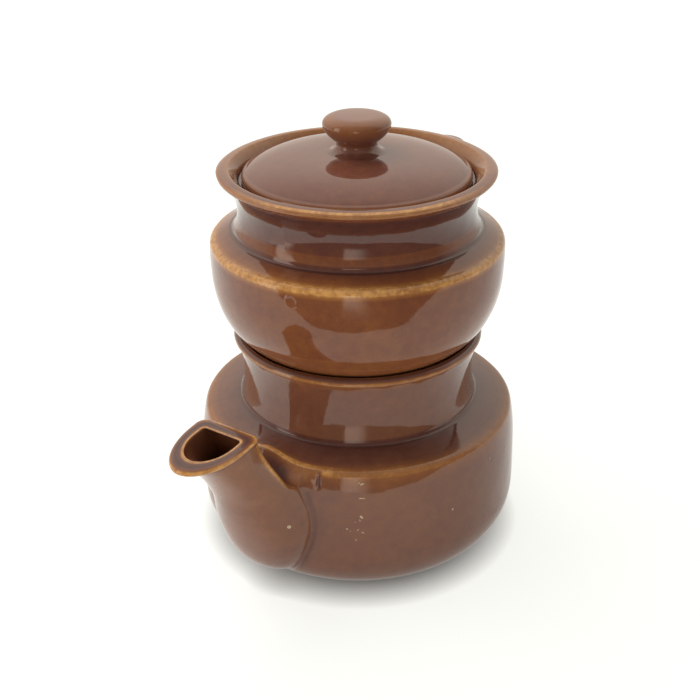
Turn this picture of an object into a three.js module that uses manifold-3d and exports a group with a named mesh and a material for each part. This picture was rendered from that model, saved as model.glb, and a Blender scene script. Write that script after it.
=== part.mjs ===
// Two-tier stoneware teapot: a lower pot with a beak spout, an upper pot with a strainer floor that
// stands in the lower pot's rim, and a domed lid that sits in the upper pot's rim.
// Millimetres, +Z up. The origin is the centre of the lower pot's flat base.
// The spout points along +X and both handles along -X.

import * as THREE from 'three';
import { mergeVertices } from 'three/addons/utils/BufferGeometryUtils.js';
import Module from 'manifold-3d';

// Clay thickness and the clearances between pieces
const WALL = 4.2;
const FLOOR = 5;
const LUTING_GAP = 0.3;
const SEAT_GAP = 0.3;

// Lower pot
const LOWER_FOOT_RADIUS = 50;
const LOWER_BELLY_RADIUS = 78.2;
const LOWER_BELLY_HEIGHT = 27;
const LOWER_SHOULDER_RADIUS = 75.4;
const LOWER_SHOULDER_HEIGHT = 70;
const LOWER_SHOULDER_RISE = 3.6;
const LOWER_COLLAR_RADIUS = 57.4;
const LOWER_NECK_RADIUS = 55.6;
const LOWER_RIM_RADIUS = 59.6;
const LOWER_RIM_HEIGHT = 108;
const LOWER_LIP_WIDTH = 3;
const LOWER_LIP_FALL = 2.2;
const LOWER_THROAT_RADIUS = 47;
const LOWER_GALLERY_DEPTH = 6;
const LOWER_ROOT_SINK = 2.5;

// Upper pot, heights above its own foot
const UPPER_FOOT_RADIUS = 51;
const UPPER_FOOT_HEIGHT = 3.5;
const UPPER_FOOT_CLEARANCE = 1.2;
const UPPER_BELLY_RADIUS = 68.4;
const UPPER_BELLY_HEIGHT = 38;
const UPPER_SHOULDER_RADIUS = 68.1;
const UPPER_SHOULDER_HEIGHT = 52.3;
const UPPER_SHOULDER_RISE = 3.9;
const UPPER_COLLAR_RADIUS = 57.2;
const UPPER_NECK_RADIUS = 55.1;
const UPPER_RIM_RADIUS = 63.5;
const UPPER_RIM_HEIGHT = 84.7;
const UPPER_LIP_WIDTH = 5.3;
const UPPER_LIP_FALL = 1.3;
const UPPER_THROAT_RADIUS = 48;
const UPPER_GALLERY_DEPTH = 6.3;
const LEDGE_THICKNESS = 3.5;

// Strainer floor of the upper pot
const STRAINER_HOLE_DIAMETER = 3;
const STRAINER_PITCH = 9;
const STRAINER_RINGS = 3;

// Lid and its knob
const LID_RADIUS = 52.3;
const LID_CLEARANCE = 1.6;
const LID_THICKNESS = 4.4;
const LID_DOME_RISE = 7.9;
const LID_DOME_FULLNESS = 0.76;
const LID_SEAT_RADIUS = 13.6;
const LOCATING_RING_DEPTH = 6;
const LOCATING_RING_WALL = 3.6;
const LOCATING_RING_CLEARANCE = 1;
const KNOB_RADIUS = 15.5;
const KNOB_WAIST_RADIUS = 9.2;
const KNOB_WAIST_HEIGHT = 3.4;
const KNOB_HEIGHT = 16.5;
const KNOB_HEAD_DEPTH = 4.4;

// Spout: a beak that swells from the side of the lower pot and opens in a flat, pointed mouth
const SPOUT_REACH = 131;
const SPOUT_BOTTOM_HEIGHT = 6.5;
const SPOUT_BELLY_STAND = 26;
const SPOUT_BELLY_HEIGHT = 64;
const SPOUT_ROOT_WIDTH = 50;
const SPOUT_WIDEST_HEIGHT = 43;
const SPOUT_ROOT_TOP = 60;
const SPOUT_MOUTH_HEIGHT = 96.5;
const SPOUT_MOUTH_LENGTH = 32;
const SPOUT_MOUTH_WIDTH = 29.6;
const SPOUT_MOUTH_FALL = 1.8;
const SPOUT_LIP_WIDTH = 4.8;
const SPOUT_LIP_DEPTH = 3;
const SPOUT_LIP_PROUD = 1;
const SPOUT_CORNER_RADIUS = 5;
const SPOUT_ROOT_OVERLAP = 12;

// Handles: oval straps bent in the plane of the spout, heights from the foot of their own pot
const STRAP_WIDTH = 13;
const STRAP_THICKNESS = 7.5;
const STRAP_FLARE = 5;
const LOWER_HANDLE_REACH = 110;
const LOWER_HANDLE_TOP = 66;
const LOWER_HANDLE_BOTTOM = 20;
const LOWER_HANDLE_ARCH = 8;
const LOWER_HANDLE_DROOP = 12;
const LOWER_HANDLE_LEAN = 10;
const UPPER_HANDLE_REACH = 96;
const UPPER_HANDLE_TOP = 68.2;
const UPPER_HANDLE_BOTTOM = 29.7;
const UPPER_HANDLE_ARCH = 17;
const UPPER_HANDLE_DROOP = 32;
const UPPER_HANDLE_LEAN = 29;

// Facets
const TURNED_FACETS = 48;
const KNOB_FACETS = 32;
const HOLE_FACETS = 8;
const BEND_STEPS = 3;
const CURVE_STEPS = 6;
const STRAP_STEPS = 18;
const STRAP_SIDES = 12;
const SPOUT_STEPS = 8;
const BEAK_STEPS = 14;

// Finishes, as the glaze looks on each piece
const brownGlaze = { color: 0x7b5240, roughness: 0.18, metalness: 0 };
const deepGlaze = { color: 0x6d4535, roughness: 0.16, metalness: 0 };
const lidGlaze = { color: 0x80564a, roughness: 0.14, metalness: 0 };

const wasm = await Module();
wasm.setup();

// Solids

function toSolid(geometry) {
  const bare = geometry.clone();
  bare.deleteAttribute('normal');
  bare.deleteAttribute('uv');
  const merged = mergeVertices(bare, 1e-4);
  return new wasm.Manifold(new wasm.Mesh({
    numProp: 3,
    vertProperties: Float32Array.from(merged.attributes.position.array),
    triVerts: Uint32Array.from(merged.index.array),
  }));
}

function toGeometry(solid) {
  const mesh = solid.getMesh();
  const geometry = new THREE.BufferGeometry();
  geometry.setAttribute('position', new THREE.BufferAttribute(mesh.vertProperties, 3));
  geometry.setIndex(new THREE.BufferAttribute(mesh.triVerts, 1));
  geometry.computeVertexNormals();
  return geometry;
}

// A turned solid from a profile of (radius, height) points that starts and ends on the axis
function turned(profile, facets = TURNED_FACETS) {
  return toSolid(new THREE.LatheGeometry(profile, facets).rotateX(Math.PI / 2));
}

// A solid through closed rings of equal count, counter-clockwise seen from the last ring
function lofted(rings) {
  const sides = rings[0].length;
  const points = rings.flat();
  const faces = [];
  for (let ring = 0; ring < rings.length - 1; ring += 1) {
    for (let side = 0; side < sides; side += 1) {
      const next = (side + 1) % sides;
      const here = ring * sides;
      const above = here + sides;
      faces.push(here + side, here + next, above + next);
      faces.push(here + side, above + next, above + side);
    }
  }
  const last = (rings.length - 1) * sides;
  const centreOf = (ring) => ring
    .reduce((sum, point) => sum.add(point), new THREE.Vector3())
    .divideScalar(sides);
  const firstCentre = points.push(centreOf(rings[0])) - 1;
  const lastCentre = points.push(centreOf(rings.at(-1))) - 1;
  for (let side = 0; side < sides; side += 1) {
    const next = (side + 1) % sides;
    faces.push(firstCentre, next, side);
    faces.push(lastCentre, last + side, last + next);
  }
  const geometry = new THREE.BufferGeometry().setFromPoints(points);
  geometry.setIndex(faces);
  return toSolid(geometry);
}

// Profiles

const at = (radius, height) => new THREE.Vector2(radius, height);

const bend = (from, corner, to, steps = BEND_STEPS) => (
  new THREE.QuadraticBezierCurve(from, corner, to).getPoints(steps));

const sweep = (from, leave, arrive, to, steps = CURVE_STEPS) => (
  new THREE.CubicBezierCurve(from, leave, arrive, to).getPoints(steps));

// The line at a distance to the left of another, seen along its run
function parallel(line, distance) {
  return line.map((point, index) => {
    const before = line[Math.max(index - 1, 0)];
    const after = line[Math.min(index + 1, line.length - 1)];
    const along = after.clone().sub(before).normalize();
    return at(point.x - along.y * distance, point.y + along.x * distance);
  });
}

// The outside of a pot from the edge of its foot up to the inner edge of its lip
function outsideOf(pot) {
  const collarHeight = pot.shoulderHeight + pot.shoulderRise;
  const edge = 2.4;
  const lipEdge = 2;
  const lipUndercut = 1.6;
  const neckStart = at(pot.collarRadius - 0.2, collarHeight + 2);
  const neckEnd = at(pot.rimRadius - lipUndercut, pot.rimHeight - pot.lipFall - lipEdge);
  const neckPull = (pot.neckRadius - 0.125 * (neckStart.x + neckEnd.x)) / 0.75;
  const neckRun = neckEnd.y - neckStart.y;
  const lipOuter = at(pot.rimRadius, pot.rimHeight - pot.lipFall);
  const bellySide = pot.bellyRadius - pot.footRadius;
  const bottomRun = pot.bellyHeight - pot.footHeight;
  const wallEnd = at(pot.shoulderRadius + 0.15, pot.shoulderHeight - edge);
  const shoulderFall = Math.min(pot.shoulderRise, 1);
  return {
    bottom: sweep(
      at(pot.footRadius, pot.footHeight),
      at(pot.footRadius + pot.bottomSpread * bellySide, pot.footHeight + pot.bottomLift),
      at(pot.bellyRadius - 0.2, pot.footHeight + pot.bottomClimb * bottomRun),
      at(pot.bellyRadius, pot.bellyHeight),
    ),
    wall: bend(
      at(pot.bellyRadius, pot.bellyHeight),
      at(pot.bellyRadius + 0.2, (pot.bellyHeight + pot.shoulderHeight) / 2),
      wallEnd,
    ),
    shoulder: [
      ...bend(wallEnd, at(pot.shoulderRadius, pot.shoulderHeight),
        at(pot.shoulderRadius - edge, pot.shoulderHeight + 0.5 * shoulderFall)),
      ...bend(at(pot.collarRadius + 2, collarHeight - 0.3), at(pot.collarRadius, collarHeight),
        neckStart, 2),
    ],
    neck: sweep(
      neckStart,
      at(neckPull, neckStart.y + 0.22 * neckRun),
      at(neckPull, neckStart.y + 0.66 * neckRun),
      neckEnd,
      5,
    ),
    lip: [
      ...bend(neckEnd, at(pot.rimRadius, neckEnd.y + 0.3), lipOuter),
      ...bend(lipOuter, at(pot.rimRadius - 0.4 * pot.lipWidth, pot.rimHeight),
        at(pot.rimRadius - pot.lipWidth, pot.rimHeight)),
    ],
  };
}

// The inside of a pot from the inner edge of its lip down to the middle of its floor
function insideOf(pot, outside) {
  const ledge = pot.rimHeight - pot.galleryDepth;
  const ledgeUnder = ledge - LEDGE_THICKNESS;
  const collarHeight = pot.shoulderHeight + pot.shoulderRise;
  const ceiling = pot.shoulderHeight - WALL;
  const cornerRadius = pot.shoulderRadius - WALL;
  const cornerRound = 3;
  const lipInner = at(pot.rimRadius - pot.lipWidth, pot.rimHeight);
  const side = [...parallel(outside.bottom, WALL), ...parallel(outside.wall, WALL).slice(1)]
    .filter((point) => point.y < ceiling - cornerRound)
    .map((point) => at(point.x, Math.max(point.y, FLOOR)));
  const floorEdge = at(side[0].x - 1.2 * (side[0].y - FLOOR), FLOOR);
  return [
    ...bend(
      lipInner,
      at(pot.galleryRadius + 0.35 * (lipInner.x - pot.galleryRadius), pot.rimHeight - 2.5),
      at(pot.galleryRadius, ledge),
    ),
    at(pot.throatRadius, ledge),
    at(pot.throatRadius, ledgeUnder),
    at(pot.neckRadius - WALL, ledgeUnder - 4),
    at(pot.collarRadius - WALL, collarHeight),
    at(pot.collarRadius - WALL + 1.5, collarHeight - WALL),
    ...bend(
      at(cornerRadius - cornerRound, ceiling + 0.5),
      at(cornerRadius, ceiling),
      at(cornerRadius, ceiling - cornerRound),
      2,
    ),
    ...side.reverse(),
    floorEdge,
    at(0, FLOOR),
  ];
}

const outlineOf = (outside) => Object.values(outside).flat();

// Consecutive points closer than a hundredth of a millimetre are one point
const distinct = (line) => line.filter((point, index) => (
  index === 0 || point.distanceTo(line[index - 1]) > 0.01));

function potProfile(pot) {
  const outside = outsideOf(pot);
  return distinct([
    at(0, 0),
    at(pot.footRadius, 0),
    ...outlineOf(outside),
    ...insideOf(pot, outside),
  ]);
}

// All the room that a pot takes up with its inside filled, grown by a gap: what is luted to the pot
// is cut back to this
function envelopeOf(pot, gap) {
  const outline = distinct([at(pot.footRadius, 0), ...outlineOf(outsideOf(pot))]);
  const grown = parallel(outline, -gap);
  return turned(distinct([
    at(0, grown[0].y - gap),
    at(grown[0].x, grown[0].y - gap),
    ...grown,
    at(0, grown.at(-1).y),
  ]));
}

// The radius of a pot's outside at a height below its shoulder
function radiusAt(pot, height) {
  const { bottom, wall } = outsideOf(pot);
  const line = [...bottom, ...wall];
  const index = line.findIndex((point) => point.y >= height);
  const above = line[Math.max(index, 1)];
  const below = line[Math.max(index, 1) - 1];
  const share = (height - below.y) / (above.y - below.y);
  return THREE.MathUtils.lerp(below.x, above.x, THREE.MathUtils.clamp(share, 0, 1));
}

// The two pots

const lowerPot = {
  footRadius: LOWER_FOOT_RADIUS,
  footHeight: 0,
  bottomSpread: 0.57,
  bottomLift: 0,
  bottomClimb: 0.37,
  bellyRadius: LOWER_BELLY_RADIUS,
  bellyHeight: LOWER_BELLY_HEIGHT,
  shoulderRadius: LOWER_SHOULDER_RADIUS,
  shoulderHeight: LOWER_SHOULDER_HEIGHT,
  shoulderRise: LOWER_SHOULDER_RISE,
  collarRadius: LOWER_COLLAR_RADIUS,
  neckRadius: LOWER_NECK_RADIUS,
  rimRadius: LOWER_RIM_RADIUS,
  rimHeight: LOWER_RIM_HEIGHT,
  lipWidth: LOWER_LIP_WIDTH,
  lipFall: LOWER_LIP_FALL,
  throatRadius: LOWER_THROAT_RADIUS,
  galleryRadius: UPPER_FOOT_RADIUS + UPPER_FOOT_CLEARANCE,
  galleryDepth: LOWER_GALLERY_DEPTH,
};

const upperPot = {
  footRadius: UPPER_FOOT_RADIUS,
  footHeight: UPPER_FOOT_HEIGHT,
  bottomSpread: 0.46,
  bottomLift: 2.5,
  bottomClimb: 0.45,
  bellyRadius: UPPER_BELLY_RADIUS,
  bellyHeight: UPPER_BELLY_HEIGHT,
  shoulderRadius: UPPER_SHOULDER_RADIUS,
  shoulderHeight: UPPER_SHOULDER_HEIGHT,
  shoulderRise: UPPER_SHOULDER_RISE,
  collarRadius: UPPER_COLLAR_RADIUS,
  neckRadius: UPPER_NECK_RADIUS,
  rimRadius: UPPER_RIM_RADIUS,
  rimHeight: UPPER_RIM_HEIGHT,
  lipWidth: UPPER_LIP_WIDTH,
  lipFall: UPPER_LIP_FALL,
  throatRadius: UPPER_THROAT_RADIUS,
  galleryRadius: LID_RADIUS + LID_CLEARANCE,
  galleryDepth: UPPER_GALLERY_DEPTH,
};

const upperPotHeight = LOWER_RIM_HEIGHT - LOWER_GALLERY_DEPTH + SEAT_GAP;
const lidHeight = upperPotHeight + UPPER_RIM_HEIGHT - UPPER_GALLERY_DEPTH + SEAT_GAP;

// Spout: level slices between the front line and the back line, each a half ellipse in front of a
// straight back with rounded corners. The same slices, drawn in by the wall, are the passage.

const mouthFront = SPOUT_REACH - SPOUT_LIP_PROUD;
const mouthBack = mouthFront - SPOUT_MOUTH_LENGTH;
const lipUnderside = SPOUT_MOUTH_HEIGHT - SPOUT_LIP_DEPTH;

// The front of the spout in the plane of symmetry, as (distance from the axis, height). Each pull is
// a share of the stretch outwards, each climb a share of the stretch upwards.
const beakLine = {
  root: { pull: 0.745, climb: 0.198 },
  belly: { pull: 0.619, climb: 0.383 },
  throat: { pull: 0.42, climb: 0.696 },
  tip: { pull: 0.958, climb: 0.878 },
};

function spoutFront() {
  const start = at(radiusAt(lowerPot, SPOUT_BOTTOM_HEIGHT) - LOWER_ROOT_SINK, SPOUT_BOTTOM_HEIGHT);
  const turn = at(LOWER_BELLY_RADIUS + SPOUT_BELLY_STAND, SPOUT_BELLY_HEIGHT);
  const end = at(mouthFront, SPOUT_MOUTH_HEIGHT);
  const between = (from, to, share) => at(
    THREE.MathUtils.lerp(from.x, to.x, share.pull),
    THREE.MathUtils.lerp(from.y, to.y, share.climb),
  );
  const lower = sweep(start, between(start, turn, beakLine.root), between(start, turn, beakLine.belly),
    turn, SPOUT_STEPS);
  const upper = sweep(turn, between(turn, end, beakLine.throat), between(turn, end, beakLine.tip),
    end, SPOUT_STEPS);
  return [...lower, ...upper.slice(1)];
}

// Half the spout's width at a height: round at the bottom, widest at the root, drawn in to the mouth
function spoutHalfWidth(height) {
  if (height < SPOUT_WIDEST_HEIGHT) {
    const depth = SPOUT_WIDEST_HEIGHT - SPOUT_BOTTOM_HEIGHT + 1;
    const drop = (SPOUT_WIDEST_HEIGHT - height) / depth;
    return (SPOUT_ROOT_WIDTH / 2) * Math.sqrt(1 - drop * drop);
  }
  const narrow = 0.9 * SPOUT_MOUTH_HEIGHT;
  const share = THREE.MathUtils.smoothstep(height, SPOUT_WIDEST_HEIGHT, narrow);
  return THREE.MathUtils.lerp(SPOUT_ROOT_WIDTH, SPOUT_MOUTH_WIDTH, share) / 2;
}

// The back starts inside the pot's wall, leaves it below the shoulder and leans out to the mouth
function spoutBack(height) {
  const wall = radiusAt(lowerPot, Math.min(height, SPOUT_ROOT_TOP));
  if (height < SPOUT_ROOT_TOP) return wall - SPOUT_ROOT_OVERLAP;
  const share = (height - SPOUT_ROOT_TOP) / (SPOUT_MOUTH_HEIGHT - SPOUT_ROOT_TOP);
  return THREE.MathUtils.lerp(wall - LOWER_ROOT_SINK, mouthBack, share);
}

// Where a slice stops running straight and rounds over to its front
function spoutMiddle(height, front) {
  const wall = radiusAt(lowerPot, Math.min(height, SPOUT_ROOT_TOP));
  const roundness = THREE.MathUtils.smoothstep(height, SPOUT_BOTTOM_HEIGHT, 0.3 * SPOUT_MOUTH_HEIGHT);
  const root = wall - WALL - (1 - roundness) * 0.5 * SPOUT_ROOT_OVERLAP;
  const leaving = THREE.MathUtils.smoothstep(height, SPOUT_ROOT_TOP - 8, SPOUT_ROOT_TOP + 20);
  const middle = height < SPOUT_ROOT_TOP ? root : spoutBack(height) - 2;
  return Math.min(middle + leaving * 0.3 * SPOUT_MOUTH_LENGTH, front - 2);
}

function spoutSlice(front, height, inset, reachIn = 0) {
  const half = spoutHalfWidth(height) - inset;
  const back = spoutBack(height) + inset - reachIn;
  const middle = Math.max(spoutMiddle(height, front) + 0.5 * inset, back + SPOUT_CORNER_RADIUS);
  const tip = front - inset;
  const corner = Math.min(SPOUT_CORNER_RADIUS, 0.4 * half);
  const fallStart = SPOUT_MOUTH_HEIGHT - 4 * SPOUT_LIP_DEPTH;
  const tilt = THREE.MathUtils.clamp((height - fallStart) / (SPOUT_MOUTH_HEIGHT - fallStart), 0, 1);
  const outline = [at(back, corner - half), at(back + 0.3 * corner, 0.3 * corner - half),
    at(back + corner, -half)];
  for (let step = 0; step <= BEAK_STEPS; step += 1) {
    const turn = Math.PI * (step / BEAK_STEPS - 0.5);
    outline.push(at(middle + (tip - middle) * Math.cos(turn), half * Math.sin(turn)));
  }
  outline.push(at(back + corner, half), at(back + 0.3 * corner, half - 0.3 * corner),
    at(back, half - corner));
  return outline.map((point) => {
    const drop = tilt * SPOUT_MOUTH_FALL * (point.x - mouthBack) / SPOUT_MOUTH_LENGTH;
    return new THREE.Vector3(point.x, point.y, height - drop);
  });
}

// The outside ends in a rolled lip that stands proud all round the mouth
function spoutOutside() {
  const slices = spoutFront()
    .filter((point) => point.y < lipUnderside - 0.5)
    .map((point) => spoutSlice(point.x, point.y, 0));
  const underFront = mouthFront - SPOUT_LIP_DEPTH;
  return lofted([
    ...slices,
    spoutSlice(underFront, lipUnderside, 0),
    spoutSlice(mouthFront, lipUnderside + 0.15 * SPOUT_LIP_DEPTH, -0.7 * SPOUT_LIP_PROUD),
    spoutSlice(mouthFront, lipUnderside + 0.45 * SPOUT_LIP_DEPTH, -SPOUT_LIP_PROUD),
    spoutSlice(mouthFront, lipUnderside + 0.8 * SPOUT_LIP_DEPTH, -0.8 * SPOUT_LIP_PROUD),
    spoutSlice(mouthFront, SPOUT_MOUTH_HEIGHT, 0),
  ]);
}

// The passage runs from inside the pot out through the mouth
function spoutPassage() {
  const slices = parallel(spoutFront(), WALL)
    .filter((point) => point.y < lipUnderside)
    .map((point) => {
      const share = THREE.MathUtils.smoothstep(point.y, SPOUT_ROOT_TOP, SPOUT_MOUTH_HEIGHT);
      const inset = THREE.MathUtils.lerp(WALL, SPOUT_LIP_WIDTH, share);
      const reachIn = point.y < SPOUT_ROOT_TOP ? 2 * WALL : 0;
      return spoutSlice(point.x + inset, point.y, inset, reachIn);
    });
  const tip = mouthFront - 0.5 * SPOUT_LIP_WIDTH;
  return lofted([
    ...slices,
    spoutSlice(tip, SPOUT_MOUTH_HEIGHT, SPOUT_LIP_WIDTH),
    spoutSlice(tip, SPOUT_MOUTH_HEIGHT + SPOUT_LIP_DEPTH, SPOUT_LIP_WIDTH),
  ]);
}

// Handles

function strap(pot, foot, shape) {
  const top = foot + shape.top;
  const bottom = foot + shape.bottom;
  const start = at(pot.neckRadius - 1, top);
  const topRadius = shape.onNeck ? start.x : radiusAt(pot, shape.top) - 3;
  const bottomRadius = radiusAt(pot, shape.bottom) - 3;
  const middle = shape.reach - STRAP_THICKNESS / 2;
  const pull = (middle - 0.125 * (topRadius + bottomRadius)) / 0.75;
  const line = new THREE.CubicBezierCurve(
    at(topRadius, top),
    at(pull - shape.lean / 2, top + shape.arch),
    at(pull + shape.lean / 2, bottom + shape.droop),
    at(bottomRadius, bottom),
  );
  const rings = [];
  for (let step = 0; step <= STRAP_STEPS; step += 1) {
    const share = step / STRAP_STEPS;
    const centre = line.getPoint(share);
    const along = line.getTangent(share);
    const flare = STRAP_FLARE * Math.abs(2 * share - 1) ** 4;
    const halfWidth = (STRAP_WIDTH + flare) / 2;
    const halfThickness = (STRAP_THICKNESS + flare / 2) / 2;
    const ring = [];
    for (let side = 0; side < STRAP_SIDES; side += 1) {
      const turn = (2 * Math.PI * side) / STRAP_SIDES;
      const out = halfThickness * Math.cos(turn);
      const across = halfWidth * Math.sin(turn);
      ring.push(new THREE.Vector3(
        -(centre.x - along.y * out),
        across,
        centre.y + along.x * out,
      ));
    }
    rings.push(ring);
  }
  return lofted(rings);
}

// Lid: a domed plate with a locating ring under it that hangs in the throat of the upper pot
function lidProfile() {
  const ringOuter = UPPER_THROAT_RADIUS - LOCATING_RING_CLEARANCE;
  const ringInner = ringOuter - LOCATING_RING_WALL;
  const edge = 1.5;
  const crown = LID_THICKNESS + LID_DOME_RISE;
  const domeCorner = at(LID_DOME_FULLNESS * LID_RADIUS, crown - 0.1);
  return distinct([
    at(0, crown - LID_THICKNESS),
    ...bend(at(LID_SEAT_RADIUS, crown - LID_THICKNESS),
      at(LID_DOME_FULLNESS * ringInner, crown - LID_THICKNESS), at(ringInner - 1, 1.5), 4),
    at(ringInner, -LOCATING_RING_DEPTH),
    at(ringOuter - 0.8, -LOCATING_RING_DEPTH),
    at(ringOuter, 0),
    at(LID_RADIUS - edge, 0),
    ...bend(at(LID_RADIUS, edge), at(LID_RADIUS, LID_THICKNESS), at(LID_RADIUS - edge, LID_THICKNESS)),
    ...bend(at(LID_RADIUS - edge, LID_THICKNESS), domeCorner, at(LID_SEAT_RADIUS, crown), 5),
    at(0, crown),
  ]);
}

// Knob: a flared base that runs out on the lid, a waist, a cone opening upwards and a flattened head
function knobProfile() {
  const head = KNOB_HEIGHT - KNOB_HEAD_DEPTH;
  const top = 0.62 * KNOB_RADIUS;
  const base = at(LID_SEAT_RADIUS - LUTING_GAP, 0);
  const waist = at(KNOB_WAIST_RADIUS, KNOB_WAIST_HEIGHT);
  const widest = at(KNOB_RADIUS, head);
  return distinct([
    at(0, 0),
    base,
    ...bend(base, at(KNOB_WAIST_RADIUS, 0.1 * KNOB_WAIST_HEIGHT), waist, 4),
    ...sweep(waist, at(waist.x + 0.2, 1.5 * waist.y), at(0.94 * KNOB_RADIUS, 0.6 * head), widest, 5),
    ...bend(widest, at(KNOB_RADIUS, KNOB_HEIGHT - 0.7), at(top, KNOB_HEIGHT - 0.4), 4),
    at(0, KNOB_HEIGHT),
  ]);
}

// The holes of the strainer floor, on rings of six more each
function strainerHoles() {
  const drill = new THREE.CylinderGeometry(
    STRAINER_HOLE_DIAMETER / 2,
    STRAINER_HOLE_DIAMETER / 2,
    FLOOR + 2,
    HOLE_FACETS,
  ).rotateX(Math.PI / 2);
  const hole = toSolid(drill);
  const holes = [hole.translate(0, 0, FLOOR / 2)];
  for (let ring = 1; ring <= STRAINER_RINGS; ring += 1) {
    const count = 6 * ring;
    for (let index = 0; index < count; index += 1) {
      const turn = (2 * Math.PI * index) / count;
      const radius = ring * STRAINER_PITCH;
      holes.push(hole.translate(radius * Math.cos(turn), radius * Math.sin(turn), FLOOR / 2));
    }
  }
  return wasm.Manifold.union(holes);
}

// Assembly

const teapot = new THREE.Group();

function addPiece(parent, name, solid, finish) {
  const mesh = new THREE.Mesh(toGeometry(solid), new THREE.MeshStandardMaterial(finish));
  mesh.name = name;
  parent.add(mesh);
}

const passage = spoutPassage();
const lowerEnvelope = envelopeOf(lowerPot, LUTING_GAP);
const lowerHandle = strap(lowerPot, 0, {
  onNeck: false,
  reach: LOWER_HANDLE_REACH,
  top: LOWER_HANDLE_TOP,
  bottom: LOWER_HANDLE_BOTTOM,
  arch: LOWER_HANDLE_ARCH,
  droop: LOWER_HANDLE_DROOP,
  lean: LOWER_HANDLE_LEAN,
});
addPiece(teapot, 'lower_pot_body', turned(potProfile(lowerPot)).subtract(passage), brownGlaze);
addPiece(teapot, 'lower_pot_spout', spoutOutside().subtract(passage).subtract(lowerEnvelope), brownGlaze);
addPiece(teapot, 'lower_pot_handle', lowerHandle.subtract(lowerEnvelope), brownGlaze);

const upperGroup = new THREE.Group();
upperGroup.position.z = upperPotHeight;
teapot.add(upperGroup);
const upperEnvelope = envelopeOf(upperPot, LUTING_GAP);
const upperHandle = strap(upperPot, 0, {
  onNeck: true,
  reach: UPPER_HANDLE_REACH,
  top: UPPER_HANDLE_TOP,
  bottom: UPPER_HANDLE_BOTTOM,
  arch: UPPER_HANDLE_ARCH,
  droop: UPPER_HANDLE_DROOP,
  lean: UPPER_HANDLE_LEAN,
});
const upperBody = turned(potProfile(upperPot)).subtract(strainerHoles());
addPiece(upperGroup, 'upper_pot_body', upperBody, deepGlaze);
addPiece(upperGroup, 'upper_pot_handle', upperHandle.subtract(upperEnvelope), deepGlaze);

const lidGroup = new THREE.Group();
lidGroup.position.z = lidHeight;
teapot.add(lidGroup);
addPiece(lidGroup, 'lid', turned(lidProfile()), lidGlaze);

const knobGroup = new THREE.Group();
knobGroup.position.z = LID_THICKNESS + LID_DOME_RISE + LUTING_GAP;
lidGroup.add(knobGroup);
addPiece(knobGroup, 'lid_knob', turned(knobProfile(), KNOB_FACETS), lidGlaze);

export default teapot;
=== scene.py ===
"""Dresses the stacked stoneware teapot: fine turned and lofted shapes, brown glaze, floor, light and camera.

Sizes are millimetres and become metres when a mesh is made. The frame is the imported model's: +Z up, the
origin at the centre of the lower pot's base, the spout along +X and both handles along -X.
"""

from __future__ import annotations

import logging
import math
from dataclasses import dataclass, field
from enum import Enum

import bmesh
import bpy
import numpy as np
from mathutils import Matrix, Vector

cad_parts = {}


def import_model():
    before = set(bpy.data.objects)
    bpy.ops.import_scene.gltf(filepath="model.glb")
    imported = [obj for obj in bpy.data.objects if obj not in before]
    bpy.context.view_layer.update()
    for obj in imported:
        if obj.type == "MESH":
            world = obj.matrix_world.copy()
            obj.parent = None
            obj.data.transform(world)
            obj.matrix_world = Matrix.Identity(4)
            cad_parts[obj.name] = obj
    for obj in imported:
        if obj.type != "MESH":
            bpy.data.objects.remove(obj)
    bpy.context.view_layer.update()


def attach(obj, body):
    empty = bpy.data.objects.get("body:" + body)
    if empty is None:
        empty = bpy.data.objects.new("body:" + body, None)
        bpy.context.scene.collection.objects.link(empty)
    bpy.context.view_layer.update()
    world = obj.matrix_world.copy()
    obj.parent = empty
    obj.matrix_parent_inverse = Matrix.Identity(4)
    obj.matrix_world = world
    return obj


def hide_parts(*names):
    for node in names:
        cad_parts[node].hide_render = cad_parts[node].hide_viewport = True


LOG = logging.getLogger("double_teapot")
MM = 0.001

WALL = 4.2
FLOOR = 5.0
LEDGE = 3.5
SEAT_GAP = 0.3
UPPER_POT_HEIGHT = 102.3
LID_HEIGHT = 181.0
# Per-point glaze depth, which in a few places also carries painted shade and a painted highlight.
GLAZE_DEPTH_AND_LIGHT = "glaze_depth_and_painted_light"

Array = np.ndarray
Pair = tuple[float, float]
Stretch = tuple[Array | list[Pair], float, float]
Tree = bpy.types.NodeTree
Socket = bpy.types.NodeSocket
Piece = bpy.types.Object
Finish = bpy.types.Material


class Depth(float, Enum):
    """How deep the glaze lies on a stretch of surface, from bare edge to pool."""

    EDGE = 0.02
    THIN = 0.2
    LEAN = 0.36
    EVEN = 0.5
    DEEP = 0.68
    POOL = 0.92


def linear(code: str) -> tuple[float, float, float, float]:
    """Turns an sRGB hex colour into linear red, green, blue and alpha.

    Args:
        code: a colour such as "#7b4a34".

    Returns:
        The linear colour with alpha 1.
    """
    channels = [int(code[i : i + 2], 16) / 255 for i in (1, 3, 5)]
    values = [c / 12.92 if c <= 0.04045 else ((c + 0.055) / 1.055) ** 2.4 for c in channels]
    return (values[0], values[1], values[2], 1.0)


def smoothstep(value: Array | float, low: float, high: float) -> Array:
    """Rises from 0 at low to 1 at high as 3t^2 - 2t^3.

    Args:
        value: where to read the step.
        low: the value at which it starts.
        high: the value at which it ends.

    Returns:
        The step's height at each value.
    """
    t = np.clip((np.asarray(value, float) - low) / (high - low), 0.0, 1.0)
    return t * t * (3 - 2 * t)


def bell(distance: Array, width: float) -> Array:
    """Gives exp(-(distance / width)^2)."""
    return np.exp(-((distance / width) ** 2))


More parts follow.
